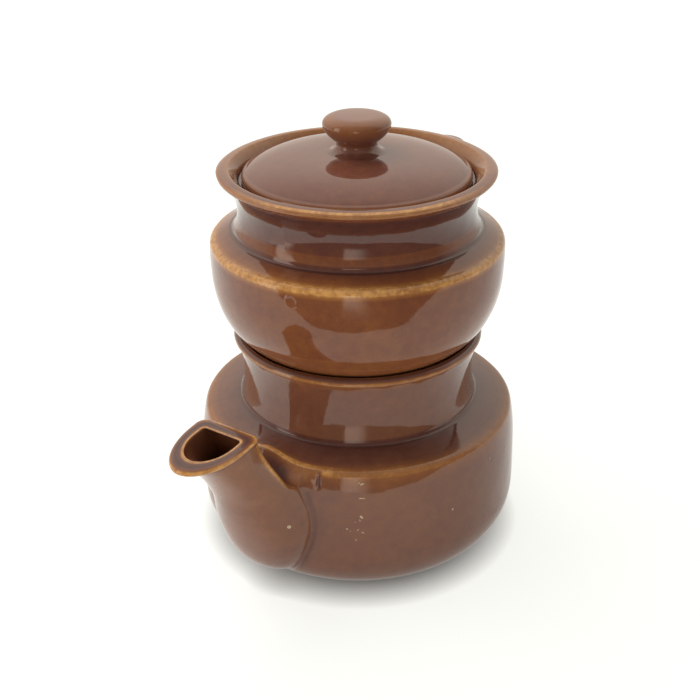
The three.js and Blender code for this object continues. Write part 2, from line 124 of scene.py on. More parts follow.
def bezier(*points: Pair, count: int = 12) -> Array:
    """Samples the Bezier curve that sums C(n, i) (1 - t)^(n - i) t^i P_i over its control points.

    Args:
        points: control points, the first and last of which lie on the curve.
        count: number of samples.

    Returns:
        The samples as rows of two coordinates.
    """
    controls = np.array(points, float)
    degree = len(controls) - 1
    t = np.linspace(0.0, 1.0, count)[:, None]
    weights = [math.comb(degree, i) * (1 - t) ** (degree - i) * t**i for i in range(degree + 1)]
    return sum(weight * control for weight, control in zip(weights, controls))


def directions(line: Array) -> Array:
    """Gives a line's unit direction at each of its points."""
    run = np.gradient(line, axis=0)
    return run / np.linalg.norm(run, axis=1, keepdims=True)


def offset(line: Array, distance: float) -> Array:
    """Shifts a line to its left, each point by distance along the normal (-dy, dx) there."""
    run = directions(line)
    return line + distance * np.stack([-run[:, 1], run[:, 0]], axis=1)


def outline(stretches: list[Stretch]) -> Array:
    """Joins stretches of a section and drops points that lie on the one before.

    Args:
        stretches: the points of each and its glaze depth at both ends, which runs evenly between them.

    Returns:
        Rows of radius, height and glaze depth.
    """
    lines = [(np.atleast_2d(points), float(start), float(end)) for points, start, end in stretches]
    rows = np.vstack([np.column_stack([p, np.linspace(a, b, len(p))]) for p, a, b in lines])
    gap = np.linalg.norm(np.diff(rows[:, :2], axis=0), axis=1)
    return rows[np.concatenate([[True], gap > 1e-3])]


def turning_angles(fine: float = 0.25, reach: float = 5.0, beside: float = 0.0) -> Array:
    """Angles round the axis in radians: steps of 2 degrees, with finer ones about both mould seams.

    Args:
        fine: step near the seams in degrees.
        reach: how far the fine steps go to each side of a seam, in degrees.
        beside: how far a nearly as fine step goes on to both sides of the spout, in degrees.

    Returns:
        The angles from 0 up to a full turn, the last one left out.
    """
    near = np.arange(-reach, reach + fine / 2, fine)
    angles = np.concatenate([np.arange(0.0, 360.0, 2.0), near % 360.0, near + 180.0])
    if beside:
        flank = np.arange(reach, beside, 1.4 * fine)
        away = np.abs((angles + 180.0) % 360.0 - 180.0)
        angles = np.concatenate([angles[(away <= reach) | (away >= beside)], flank, 360.0 - flank])
    return np.radians(np.unique(np.round(angles, 4)))


def turned(rows: Array, angles: Array, base: float = 0.0) -> Array:
    """Turns rows of radius and height round the axis: (r cos a, r sin a, z + base).

    Args:
        rows: radius, height and depth.
        angles: angles in radians.
        base: height added to every point.

    Returns:
        Points shaped rows by angles by 3.
    """
    radius, turn = rows[:, 0, None], angles[None, :]
    z = np.broadcast_to(rows[:, 1, None] + base, (len(rows), len(angles)))
    return np.stack([radius * np.cos(turn), radius * np.sin(turn), z], axis=-1)


def spread(rows: Array, angles: Array) -> Array:
    """Gives each row's glaze depth at every angle, as an array that can be changed."""
    return np.repeat(rows[:, 2, None], len(angles), axis=1)


def bearing(angles: Array) -> Array:
    """Gives angles in degrees from the spout, between -180 and 180."""
    return np.degrees(np.angle(np.exp(1j * angles)))


def surface_normals(grid: Array) -> Array:
    """Gives a grid's normals: the cross product of its steps along closed columns and along rows.

    Args:
        grid: points shaped rows by columns by 3.

    Returns:
        Unit normals of the same shape.
    """
    beside = np.roll(grid, -1, axis=1) - np.roll(grid, 1, axis=1)
    normal = np.cross(beside, np.gradient(grid, axis=0))
    return normal / (np.linalg.norm(normal, axis=-1, keepdims=True) + 1e-12)


def placed(name: str, data: bpy.types.ID) -> Piece:
    """Makes an object of a mesh, a light or a camera and links it to the scene.

    Args:
        name: the object's name.
        data: what it shows.

    Returns:
        The object.
    """
    piece = bpy.data.objects.new(name, data)
    bpy.context.scene.collection.objects.link(piece)
    return piece


def sheet(name: str, points: Array, faces: Array) -> Piece:
    """Makes a thin piece of faces between points.

    Args:
        name: the piece's name.
        points: the corners' places in millimetres.
        faces: rows of the corners' numbers, one row for each face.

    Returns:
        The piece, linked to the scene.
    """
    mesh = bpy.data.meshes.new(name)
    mesh.from_pydata((points * MM).tolist(), [], faces.tolist())
    mesh.update()
    return placed(name, mesh)


def mesh_object(name: str, grid: Array, depth: Array | float, close_rows: bool = False) -> Piece:
    """Makes a mesh of quads between neighbours in a grid whose columns close, faces outwards.

    Args:
        name: the object's name.
        grid: points in millimetres, shaped rows by columns by 3.
        depth: glaze depth of all of it, of each row as a column, or of each point.
        close_rows: joins the last row to the first.

    Returns:
        The new object, linked to the scene, with its place in its mesh.
    """
    rows, columns = grid.shape[:2]
    row = np.arange(rows if close_rows else rows - 1)
    here, beside = np.meshgrid(row, np.arange(columns), indexing="ij")
    next_row, next_column = (here + 1) % rows, (beside + 1) % columns
    corners = [(here, beside), (here, next_column), (next_row, next_column), (next_row, beside)]
    faces = np.stack([a * columns + b for a, b in corners], axis=-1).reshape(-1, 4)
    points = grid.reshape(-1, 3) * MM
    a, b, c, d = (points[faces[:, i]] for i in range(4))
    volume = np.einsum("ij,ij->", a, np.cross(b, c)) + np.einsum("ij,ij->", a, np.cross(c, d))
    if volume < 0:
        faces = faces[:, ::-1]
    mesh = bpy.data.meshes.new(name)
    mesh.vertices.add(len(points))
    mesh.vertices.foreach_set("co", points.astype(np.float32).ravel())
    mesh.loops.add(faces.size)
    mesh.loops.foreach_set("vertex_index", faces.astype(np.int32).ravel())
    mesh.polygons.add(len(faces))
    mesh.polygons.foreach_set("loop_start", np.arange(0, faces.size, 4, dtype=np.int32))
    mesh.update(calc_edges=True)
    layer = mesh.attributes.new(GLAZE_DEPTH_AND_LIGHT, "FLOAT", "POINT")
    layer.data.foreach_set("value", np.broadcast_to(depth, (rows, columns)).astype(np.float32).ravel())
    weld(mesh)
    shade(mesh, 50.0)
    return placed(name, mesh)


def weld(mesh: bpy.types.Mesh) -> None:
    """Merges points in one place, so that seams and poles are closed, and fills openings left over.

    Args:
        mesh: the mesh to close.
    """
    shell = bmesh.new()
    shell.from_mesh(mesh)
    bmesh.ops.remove_doubles(shell, verts=shell.verts, dist=1e-7)
    bmesh.ops.dissolve_degenerate(shell, dist=1e-8, edges=shell.edges)
    rim = [edge for edge in shell.edges if edge.is_boundary]
    if rim:
        bmesh.ops.holes_fill(shell, edges=rim, sides=0)
    shell.to_mesh(mesh)
    shell.free()


def shade(mesh: bpy.types.Mesh, sharp: float) -> None:
    """Shades a mesh smooth, with hard edges where it turns by more than an angle.

    Args:
        mesh: the mesh to shade.
        sharp: the angle in degrees.
    """
    mesh.polygons.foreach_set("use_smooth", np.ones(len(mesh.polygons), bool))
    mesh.set_sharp_from_angle(angle=math.radians(sharp))
    mesh.update()


def cut(piece: Piece, cutter: Piece, sharp: float = 40.0) -> None:
    """Takes one closed body away from another and removes the cutter.

    Args:
        piece: the body that is cut.
        cutter: the body that is taken away.
        sharp: angle in degrees above which the result's edges are hard.
    """
    modifier = piece.modifiers.new("cut", "BOOLEAN")
    modifier.operation = "DIFFERENCE"
    modifier.solver = "EXACT"
    modifier.object = cutter
    bpy.context.view_layer.update()
    evaluated = piece.evaluated_get(bpy.context.evaluated_depsgraph_get())
    result = bpy.data.meshes.new_from_object(evaluated)
    piece.modifiers.remove(modifier)
    old, piece.data = piece.data, result
    result.name = piece.name
    bpy.data.meshes.remove(old)
    bpy.data.objects.remove(cutter)
    weld(result)
    shade(result, sharp)


def dress(piece: Piece, body: str, materials: list[Finish]) -> None:
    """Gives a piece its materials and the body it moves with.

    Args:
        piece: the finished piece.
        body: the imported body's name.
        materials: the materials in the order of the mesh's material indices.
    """
    piece.data.materials.clear()
    for material in materials:
        piece.data.materials.append(material)
    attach(piece, body)
    LOG.info("%s: %d faces on %s", piece.name, len(piece.data.polygons), body)


def add(
    tree: Tree,
    kind: str,
    inputs: dict[str | int, object] | None = None,
    out: str | int = 0,
    stops: list[tuple[float, str]] | None = None,
    **options: object,
) -> Socket:
    """Adds a shader node.

    Args:
        tree: the node tree.
        kind: the node's type without "ShaderNode".
        inputs: values of its inputs, or the sockets that feed them, by name or number.
        out: the output that is wanted.
        stops: a colour ramp's positions and sRGB hex colours.
        options: the node's own properties.

    Returns:
        That output's socket.
    """
    node = tree.nodes.new("ShaderNode" + kind)
    for key, value in options.items():
        setattr(node, key, value)
    for key, value in (inputs or {}).items():
        if isinstance(value, Socket):
            tree.links.new(value, node.inputs[key])
        else:
            node.inputs[key].default_value = value
    if stops:
        elements = node.color_ramp.elements
        while len(elements) < len(stops):
            elements.new(0.5)
        for element, (position, code) in zip(elements, stops):
            element.position = position
            element.color = linear(code)
    return node.outputs[out]


def grains(place: Socket, size: float, detail: float, roughness: float = 0.55) -> dict[str, object]:
    """Gives the inputs of a noise whose features are about size millimetres wide.

    Args:
        place: the coordinates it lies on.
        size: width of a feature in millimetres.
        detail: how much finer the noise goes.
        roughness: the weight of the finer noise.

    Returns:
        The inputs by name.
    """
    return {"Vector": place, "Scale": 1 / (size * MM), "Detail": detail, "Roughness": roughness}


def ramp(value: Socket, low: float, high: float, start: float, end: float) -> dict[str, object]:
    """Gives the inputs of a map of value that goes from start at low to end at high."""
    return {"Value": value, "From Min": low, "From Max": high, "To Min": start, "To Max": end}


def blank(name: str) -> tuple[Finish, Tree, bpy.types.bpy_prop_collection]:
    """Starts a material.

    Args:
        name: the material's name.

    Returns:
        The material, its nodes and its shader's inputs.
    """
    material = bpy.data.materials.new(name)
    material.use_nodes = True
    return material, material.node_tree, material.node_tree.nodes["Principled BSDF"].inputs


@dataclass(frozen=True)
class GlazedStoneware:
    """Slip-cast pale stoneware under a transparent iron-brown glaze, dipped and fired glossy.

    The melted glaze runs off sharp edges and breaks golden there, and it gathers dark, almost plum, in
    grooves and on level ledges. Between them it is an even warm brown with faint clouds, a fine speckle
    and the slight orange peel of a thick gloss coat.
    """

    name: str
    edge: str = "#dca05c"
    thin: str = "#a8703f"
    lean: str = "#8c5838"
    even: str = "#7a4c38"
    deep: str = "#62392f"
    pool: str = "#4a2e2b"
    roughness: float = 0.06
    ior: float = 1.53
    # Size in mm, detail and strength of the clouds, the mottling and the speckle.
    sways: tuple[tuple[float, float, float], ...] = ((34.0, 2.0, 0.22), (5.0, 3.0, 0.22), (0.8, 2.0, 0.12))
    fleck_mm: float = 2.2
    fleck_depth: float = 0.38
    peel_mm: float = 3.2
    peel_height: float = 0.2
    blister: tuple[float, float, float] | None = None
    blister_radius: float = 2.6
    blister_width: float = 0.9
    blister_height: float = 0.22

    def build(self) -> Finish:
        """Makes the material.

        Returns:
            The new material, which reads the piece's glaze depth, with its painted shade and highlight, and
            Object coordinates.
        """
        material, tree, shader = blank(self.name)
        place = add(tree, "TexCoord", out="Object")
        depth = add(tree, "Attribute", out="Fac", attribute_name=GLAZE_DEPTH_AND_LIGHT)
        value = depth
        for size, detail, amount in self.sways:
            noise = {0: add(tree, "TexNoise", grains(place, size, detail)), 1: amount, 2: -0.5 * amount}
            shift = add(tree, "Math", noise, operation="MULTIPLY_ADD")
            value = add(tree, "Math", {0: value, 1: shift}, operation="ADD")
        colours = (self.edge, self.thin, self.lean, self.even, self.deep, self.pool)
        stops = list(zip((0.0, 0.18, 0.34, 0.52, 0.74, 0.95), colours))
        depths = {"Fac": self._fleck(tree, value, depth, place)}
        tree.links.new(add(tree, "ValToRGB", depths, stops=stops), shader["Base Color"])
        peel = add(tree, "TexNoise", grains(place, self.peel_mm, 1.0))
        coat = add(tree, "Bump", {"Strength": 0.1, "Distance": self.peel_height * MM, "Height": peel})
        if self.blister:
            coat = self._blister(tree, place, coat)
        tree.links.new(coat, shader["Normal"])
        shader["Roughness"].default_value = self.roughness
        shader["IOR"].default_value = self.ior
        return material

    def _fleck(self, tree: Tree, value: Socket, depth: Socket, place: Socket) -> Socket:
        """Breaks up the gold of the edges, where drops of thicker glaze stayed behind.

        Args:
            tree: the material's nodes.
            value: the depth that the colour is read at.
            depth: the piece's own glaze depth.
            place: Object coordinates.

        Returns:
            The value plus fleck_depth times (noise - 0.45) times the bareness of the edge.
        """
        drops = {0: add(tree, "TexNoise", grains(place, self.fleck_mm, 2.0)), 1: self.fleck_depth}
        drops[2] = -0.45 * self.fleck_depth
        shift = add(tree, "Math", drops, operation="MULTIPLY_ADD")
        bare = add(tree, "MapRange", ramp(depth, 0.05, 0.4, 1.0, 0.0))
        return add(tree, "Math", {0: shift, 1: bare, 2: value}, operation="MULTIPLY_ADD")

    def _blister(self, tree: Tree, place: Socket, normal: Socket) -> Socket:
        """Raises a small ring where a bubble burst in the melted glaze.

        Args:
            tree: the material's nodes.
            place: Object coordinates.
            normal: the normal that the ring is added to.

        Returns:
            The new normal.
        """
        centre = Vector(self.blister) * MM
        away = add(tree, "VectorMath", {0: place, 1: centre}, "Value", operation="DISTANCE")
        ring = add(tree, "Math", {0: away, 1: self.blister_radius * MM}, operation="SUBTRACT")
        width = add(tree, "Math", {0: ring}, operation="ABSOLUTE")
        ridge = add(tree, "MapRange", ramp(width, 0.0, self.blister_width * MM, 1.0, 0.0))
        relief = {"Strength": 0.5, "Distance": self.blister_height * MM, "Height": ridge}
        return add(tree, "Bump", relief | {"Normal": normal})


@dataclass(frozen=True)
class BareStoneware:
    """Pale buff stoneware that the glaze leaves free: the wiped foot and small chips.

    The fired clay is matt and slightly gritty, with fine darker grains of iron.
    """

    name: str = "bare_buff_stoneware"
    clay: str = "#d9c7a8"
    grain: str = "#b59a76"
    grain_mm: float = 0.7
    roughness: float = 0.78

    def build(self) -> Finish:
        """Makes the material.

        Returns:
            The new material, on Object coordinates.
        """
        material, tree, shader = blank(self.name)
        place = add(tree, "TexCoord", out="Object")
        grain = add(tree, "TexNoise", grains(place, self.grain_mm, 3.0, 0.6))
        stops = [(0.38, self.grain), (0.62, self.clay)]
        tree.links.new(add(tree, "ValToRGB", {"Fac": grain}, stops=stops), shader["Base Color"])
        bump = add(tree, "Bump", {"Strength": 0.35, "Distance": 0.2 * MM, "Height": grain})
        tree.links.new(bump, shader["Normal"])
        shader["Roughness"].default_value = self.roughness
        return material


@dataclass(frozen=True)
class Pot:
    """The turned section of one pot, with heights counted from its own base.

    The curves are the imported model's, with the fine roundings, the waves and the seam of the casting.
    """

    base: float
    foot_radius: float
    foot_height: float
    bottom_spread: float
    bottom_lift: float
    bottom_climb: float
    belly_radius: float
    belly_height: float
    shoulder_radius: float
    shoulder_height: float
    shoulder_rise: float
    collar_radius: float
    neck_radius: float
    rim_radius: float
    rim_height: float
    lip_width: float
    lip_fall: float
    throat_radius: float
    gallery_radius: float
    gallery_depth: float
    lip_edge: float = 2.0
    lip_undercut: float = 1.6
    shoulder_edge: float = 2.4
    ripple: float = 0.07
    # Share, number round the pot, turn per mm of height and start of each wave of the ripple.
    waves: tuple[tuple[float, float, float, float], ...] = (
        (1.0, 3, 0.09, 1.0),
        (0.7, 7, -0.13, 2.1),
        (0.45, 13, 0.21, 0.4),
        (0.25, 23, -0.31, 4.0),
    )
    seam: float = 0.26
    thin_from: float = 61.0
    edge_depth: float = 0.24
    calm: float = 0.0
    drained_to: float | None = None
    wall_round: float = 0.0
    # Glaze depth towards the top of the neck; deep on the upper pot as painted shade under the overhanging
    # lip.
    neck_depth_and_shade: float = 0.54
    shoulder_depth: float = 0.6
    bottom_depth: float = 0.5

    def outside(self) -> list[Stretch]:
        """Gives the outside from the edge of the foot up to the inner edge of the lip.

        Returns:
            The stretches of the outside, the first three of which are the wall up to the shoulder's edge.
        """
        collar, foot = self.shoulder_height + self.shoulder_rise, self.foot_height
        rim, lip = self.rim_radius, self.rim_height - self.lip_fall
        neck_start = (self.collar_radius - 0.2, collar + 2)
        neck_end = (rim - self.lip_undercut, lip - self.lip_edge)
        pull = (self.neck_radius - 0.125 * (neck_start[0] + neck_end[0])) / 0.75
        run = neck_end[1] - neck_start[1]
        side, climb = self.belly_radius - self.foot_radius, self.belly_height - foot
        wall_end = (self.shoulder_radius + 0.15, self.shoulder_height - self.shoulder_edge)
        belly = (self.belly_radius, self.belly_height)
        start_height = self.shoulder_height + 0.5 * min(self.shoulder_rise, 1.0)
        shoulder_start = (self.shoulder_radius - self.shoulder_edge, start_height)
        shoulder_end = (self.collar_radius + 2, collar - 0.3)
        start = (self.foot_radius + self.bottom_spread * side, foot + self.bottom_lift)
        below = (self.belly_radius - 0.2, foot + self.bottom_climb * climb)
        bottom = bezier((self.foot_radius, foot), start, below, belly, count=36)
        rise = self.shoulder_height - self.belly_height
        pulls = [(self.belly_radius + 0.2, self.belly_height + 0.5 * rise)]
        edge_pull = (self.shoulder_radius, self.shoulder_height)
        if self.wall_round:
            bulge = (self.shoulder_radius + self.wall_round, self.belly_height + 0.74 * rise)
            pulls = [(self.belly_radius + 0.2, self.belly_height + 0.45 * rise), bulge]
            edge_pull = (self.shoulder_radius - 0.2 * self.wall_round, self.shoulder_height)
        wall = bezier(belly, *pulls, wall_end, count=48)
        edge = bezier(wall_end, edge_pull, shoulder_start)
        shoulder = np.linspace(shoulder_start, shoulder_end, 14)
        groove = bezier(shoulder_end, (self.collar_radius, collar), neck_start, count=10)
        waist = [(pull, neck_start[1] + share * run) for share in (0.22, 0.66)]
        neck = bezier(neck_start, *waist, neck_end, count=34)
        under = bezier(neck_end, (rim, neck_end[1] + 0.3), (rim, lip), count=10)
        crown = (rim - 0.25 * self.lip_width, self.rim_height + 0.1)
        top = bezier((rim, lip), crown, (rim - self.lip_width, self.rim_height), count=14)
        return [
            (bottom, self.bottom_depth, Depth.EVEN),
            (wall[:-11], Depth.EVEN, Depth.EVEN),
            (wall[-11:], Depth.EVEN, self.edge_depth + 0.1),
            (edge[:6], self.edge_depth, self.edge_depth),
            (edge[6:], self.edge_depth, self.edge_depth + 0.04),
            (shoulder[:5], self.edge_depth + 0.06, self.shoulder_depth),
            (shoulder[5:], self.shoulder_depth, self.shoulder_depth + 0.18),
            (groove, Depth.POOL, Depth.DEEP),
            (neck[:8], Depth.EVEN, Depth.EVEN),
            # The neck darkens towards the lip: on the upper pot this is painted shade under the overhanging
            # lip.
            (neck[8:-4], 0.5 * (Depth.EVEN + self.neck_depth_and_shade), self.neck_depth_and_shade),
            (neck[-4:], self.neck_depth_and_shade, Depth.LEAN),
            (under, Depth.EVEN, Depth.THIN),
            (top[:4], Depth.EDGE, Depth.EVEN),
            (top[4:-3], Depth.DEEP, Depth.DEEP),
            (top[-3:], Depth.EVEN, Depth.THIN),
        ]

    def inside(self, floor_radius: float) -> list[Stretch]:
        """Gives the inside from the lip's inner edge down to the floor.

        Args:
            floor_radius: where the turned floor ends; 0 is the middle.

        Returns:
            The stretches of the inside.
        """
        ledge = self.rim_height - self.gallery_depth
        under = ledge - LEDGE
        collar = self.shoulder_height + self.shoulder_rise
        ceiling, corner = self.shoulder_height - WALL, self.shoulder_radius - WALL
        gallery, throat = self.gallery_radius, self.throat_radius
        neck, fold = self.neck_radius - WALL, self.collar_radius - WALL
        lip = (self.rim_radius - self.lip_width, self.rim_height)
        flare_pull = (gallery + 0.35 * (lip[0] - gallery), self.rim_height - 2.5)
        seat_start = (gallery, ledge + 0.8)
        flare = bezier(lip, flare_pull, seat_start, count=14)
        seat = bezier(seat_start, (gallery - 0.1, ledge), (gallery - 1.0, ledge), count=5)
        nose = bezier((throat + 0.8, ledge), (throat, ledge), (throat, ledge - 0.8), count=5)
        hollow = bezier((throat + 1.0, under - 0.4), (neck, under - 3.0), (neck, under - 8.0), count=6)
        turn = bezier((neck + 0.4, collar + 8.0), (fold, collar), (fold + 1.5, collar - WALL), count=8)
        top = bezier((corner - 3.0, ceiling + 0.5), (corner, ceiling), (corner, ceiling - 3.0), count=6)
        bottom, wall, upper_wall = (stretch[0] for stretch in self.outside()[:3])
        side = np.vstack([offset(bottom, WALL), offset(np.vstack([wall, upper_wall]), WALL)[1:]])
        side = side[side[:, 1] < ceiling - 3.0]
        side[:, 1] = np.maximum(side[:, 1], FLOOR)
        floor_edge = side[0, 0] - 1.2 * (side[0, 1] - FLOOR)
        floor = [(floor_edge, FLOOR), (0.8 * floor_edge, FLOOR), (floor_radius, FLOOR)]
        return [
            (flare, Depth.THIN, Depth.LEAN),
            # The seat seen in the gap beside the lid is pool-dark: glaze pooled on the ledge, plus painted
            # shade under the lid's edge.
            (seat, Depth.POOL, Depth.POOL),
            (nose, Depth.LEAN, Depth.EDGE),
            ([(throat, under + 0.6), (throat + 0.6, under)], Depth.THIN, Depth.EVEN),
            (hollow, Depth.EVEN, Depth.EVEN),
            (turn, Depth.EVEN, Depth.EVEN),
            (top, Depth.EVEN, Depth.EVEN),
            (side[::-1][::2], Depth.EVEN, Depth.DEEP),
            (floor, Depth.POOL, Depth.DEEP),
        ]

    def section(self, floor_radius: float = 0.0) -> Array:
        """Gives the whole closed section of the pot.

        Args:
            floor_radius: where the turned floor starts; 0 is the middle.

        Returns:
            Rows of radius, height above the origin and glaze depth.
        """
        foot = [(floor_radius, 0.0), (self.foot_radius - 1.5, 0.0)]
        if self.foot_height:
            foot += [(self.foot_radius - 0.5, 0.12), (self.foot_radius, 0.7)]
            foot += [(self.foot_radius, max(self.foot_height - 0.3, 0.35))]
        rows = outline([(foot, Depth.THIN, Depth.EVEN), *self.outside(), *self.inside(floor_radius)])
        rows[:, 1] += self.base
        return rows

    def depths(self, rows: Array, angles: Array) -> Array:
        """Spreads the section's glaze depth round the axis.

        On top of the lip the glaze ran to one side as the pot was drained, so its depth there goes from
        lean to deep with the cosine of the bearing from that side, and its outer edge turns golden there.

        Args:
            rows: radius, height and depth of the section's points.
            angles: angles round the axis in radians.

        Returns:
            Depths shaped rows by angles.
        """
        depth = spread(rows, angles)
        if self.drained_to is None:
            return depth
        level = rows[:, 1] - self.base > self.rim_height - 0.9
        inner = self.rim_radius - self.lip_width
        top = level & (rows[:, 0] > inner + 0.2) & (rows[:, 0] < self.rim_radius - 0.5)
        towards = np.cos(angles - math.radians(self.drained_to))
        run = 0.27 + 0.41 * smoothstep(towards, -0.1, 0.7)
        depth[top] = 0.25 * depth[top] + 0.75 * run[None, :]
        outer = (level * smoothstep(rows[:, 0], self.rim_radius - 2.9, self.rim_radius - 2.0))[:, None]
        return depth + outer * smoothstep(towards, 0.2, 0.9) * (Depth.EDGE + 0.05 - depth)

    def wall_radius(self, height: Array | float) -> Array:
        """Gives the outer radius at heights up to the shoulder, by the wall's own curve."""
        side = np.vstack([stretch[0] for stretch in self.outside()[:3]])
        return np.interp(height, side[:, 1], side[:, 0])

    def shaped(self, rows: Array, angles: Array) -> Array:
        """Turns a section round the axis, with the slight unevenness of a cast pot.

        Point (i, j) is (r cos a, r sin a, z) with r = radius_i + ripple(a, z) + seam(a), where the ripple
        is a sum of slow waves round and up the wall, and the seam is a low sharp ridge on the neck where
        the two halves of the mould met.

        Args:
            rows: radius, height and depth of the section's points.
            angles: angles round the axis in radians.

        Returns:
            Points shaped rows by angles by 3.
        """
        radius, height, turn = rows[:, 0, None], rows[:, 1, None], angles[None, :]
        waves = sum(share * np.sin(n * turn + rate * height + start) for share, n, rate, start in self.waves)
        free = smoothstep(height, self.base + 4.0, self.base + 14.0)
        free = free * smoothstep(radius, 45.0, 54.0)
        across = np.abs((turn + 0.5 * np.pi) % np.pi - 0.5 * np.pi) * np.maximum(radius, 1.0)
        collar = self.base + self.shoulder_height + self.shoulder_rise
        below = self.base + self.rim_height - height
        neck = smoothstep(height, collar + 0.5, collar + 3.0) * smoothstep(below, 3.0, 7.0)
        seam = self.seam * neck * np.exp(-across / 4.0)
        # The wall is calmer within some 30 degrees of the spout, where the mould is stiff.
        beside = 1 - smoothstep(np.abs(bearing(turn)), 26.0, 40.0)
        rough = radius + free * (self.ripple * waves * (1 - self.calm * beside * (1 - neck)) + seam)
        z = np.broadcast_to(height, rough.shape)
        return np.stack([rough * np.cos(turn), rough * np.sin(turn), z], axis=-1)


@dataclass
class Wall:
    """The outside of a turned pot, sampled evenly, as something that other clay can be joined to."""

    rows: Array
    spacing: float = 0.5
    line: Array = field(init=False)
    normals: Array = field(init=False)

    def __post_init__(self) -> None:
        """Samples the section and works out its outward normals."""
        points = self.rows[:, :2]
        along = np.concatenate([[0.0], np.cumsum(np.linalg.norm(np.diff(points, axis=0), axis=1))])
        even = np.arange(0.0, along[-1], self.spacing)
        self.line = np.column_stack([np.interp(even, along, points[:, i]) for i in (0, 1)])
        run = directions(self.line)
        self.normals = np.column_stack([run[:, 1], -run[:, 0]])

    def distance(self, points: Array) -> tuple[Array, Array]:
        """Measures how far points stand off the wall.

        Args:
            points: places shaped (..., 3).

        Returns:
            The signed distance, positive outside, and the wall's outward normal at each point.
        """
        flat = points.reshape(-1, 3)
        radius = np.hypot(flat[:, 0], flat[:, 1])
        place = np.column_stack([radius, flat[:, 2]])
        nearest = ((place[:, None, :] - self.line[None, :, :]) ** 2).sum(axis=2).argmin(axis=1)
        normal = self.normals[nearest]
        gap = ((place - self.line[nearest]) * normal).sum(axis=1)
        cosine, sine = flat[:, 0] / radius, flat[:, 1] / radius
        outward = np.column_stack([normal[:, 0] * cosine, normal[:, 0] * sine, normal[:, 1]])
        return gap.reshape(points.shape[:-1]), outward.reshape(points.shape)

    def fillet(self, grid: Array, radius: float | Array) -> Array:
        """Swells a surface where it meets the wall, as a sponged joint does.

        A point at height h over the wall moves along its own normal n by R - sqrt(R^2 - d^2), with
        d = (R (1 - c) - h) / sqrt(1 - c^2) and c = n.m, where m is the wall's normal. That puts it on the
        circle of radius R that touches both surfaces. Here d is kept between 0 and R sqrt(1 - c^2), or R
        where the corner is sharp (c < 0).

        Args:
            grid: the surface's points, rows by columns by 3, with columns that close.
            radius: the fillet's radius R, one value or one for each point.

        Returns:
            The swollen surface.
        """
        normal = surface_normals(grid)
        height, outward = self.distance(grid)
        cosine = np.clip((normal * outward).sum(axis=-1), -0.75, 0.999)
        sine = np.sqrt(1.0 - cosine**2)
        limit = radius * np.where(cosine > 0.0, sine, 1.0)
        run = np.clip((radius * (1.0 - cosine) - height) / sine, 0.0, limit)
        rise = radius - np.sqrt(np.maximum(radius**2 - run**2, 0.0))
        return grid + rise[..., None] * normal


@dataclass(frozen=True)
class Strap:
    """An oval strap handle bent in the plane of the spout and luted to the pot at both ends."""

    name: str
    reach: float
    top: float
    bottom: float
    arch: float
    droop: float
    lean: float
    start_radius: float
    end_radius: float
    width: float = 13.0
    thickness: float = 7.5
    spread: float = 2.0
    fillet: float = 5.0
    squareness: float = 2.4
    rows: int = 110
    columns: int = 48

    def build(self, wall: Wall, base: float) -> Piece:
        """Sweeps the strap along its Bezier path.

        Point (i, j) is P(t_i) + a cos'(u_j) N(t_i) + b sin'(u_j) Y, with N the path's normal in its plane,
        Y across it, and cos' and sin' raised to 2 / squareness, which squares the oval slightly.

        Args:
            wall: the pot's wall that both ends are joined to.
            base: height of the pot's foot.

        Returns:
            The strap's object.
        """
        middle = self.reach - self.thickness / 2
        pull = (middle - 0.125 * (self.start_radius + self.end_radius)) / 0.75
        upper = (pull - self.lean / 2, self.top + self.arch)
        lower = (pull + self.lean / 2, self.bottom + self.droop)
        ends = (self.start_radius, self.top), (self.end_radius, self.bottom)
        path = bezier(ends[0], upper, lower, ends[1], count=self.rows)
        run = directions(path)
        swell = np.abs(2 * np.linspace(0.0, 1.0, self.rows) - 1) ** 6
        across = (self.width / 2 + self.spread * swell)[:, None]
        through = (self.thickness / 2 + 0.5 * self.spread * swell)[:, None]
        turn = np.linspace(0.0, 2 * np.pi, self.columns, endpoint=False)[None, :]
        power = 2 / self.squareness
        cosine, sine = (np.sign(wave) * np.abs(wave) ** power for wave in (np.cos(turn), np.sin(turn)))
        distance = path[:, 0, None] - run[:, 1, None] * through * cosine
        height = path[:, 1, None] + run[:, 0, None] * through * cosine
        grid = np.stack([-distance, across * sine, height + base], axis=-1)
        outwards = grid - grid.mean(axis=1, keepdims=True)
        if np.einsum("ijk,ijk->", surface_normals(grid), outwards) < 0:
            grid = grid[:, ::-1]
        grid = wall.fillet(grid, self.fillet)
        gap, _ = wall.distance(grid)
        depth = Depth.EVEN - np.broadcast_to(0.14 * np.abs(sine) ** 6, grid.shape[:2])
        return mesh_object(self.name, grid, depth + 0.2 * smoothstep(-gap, -self.fillet, 0.0))


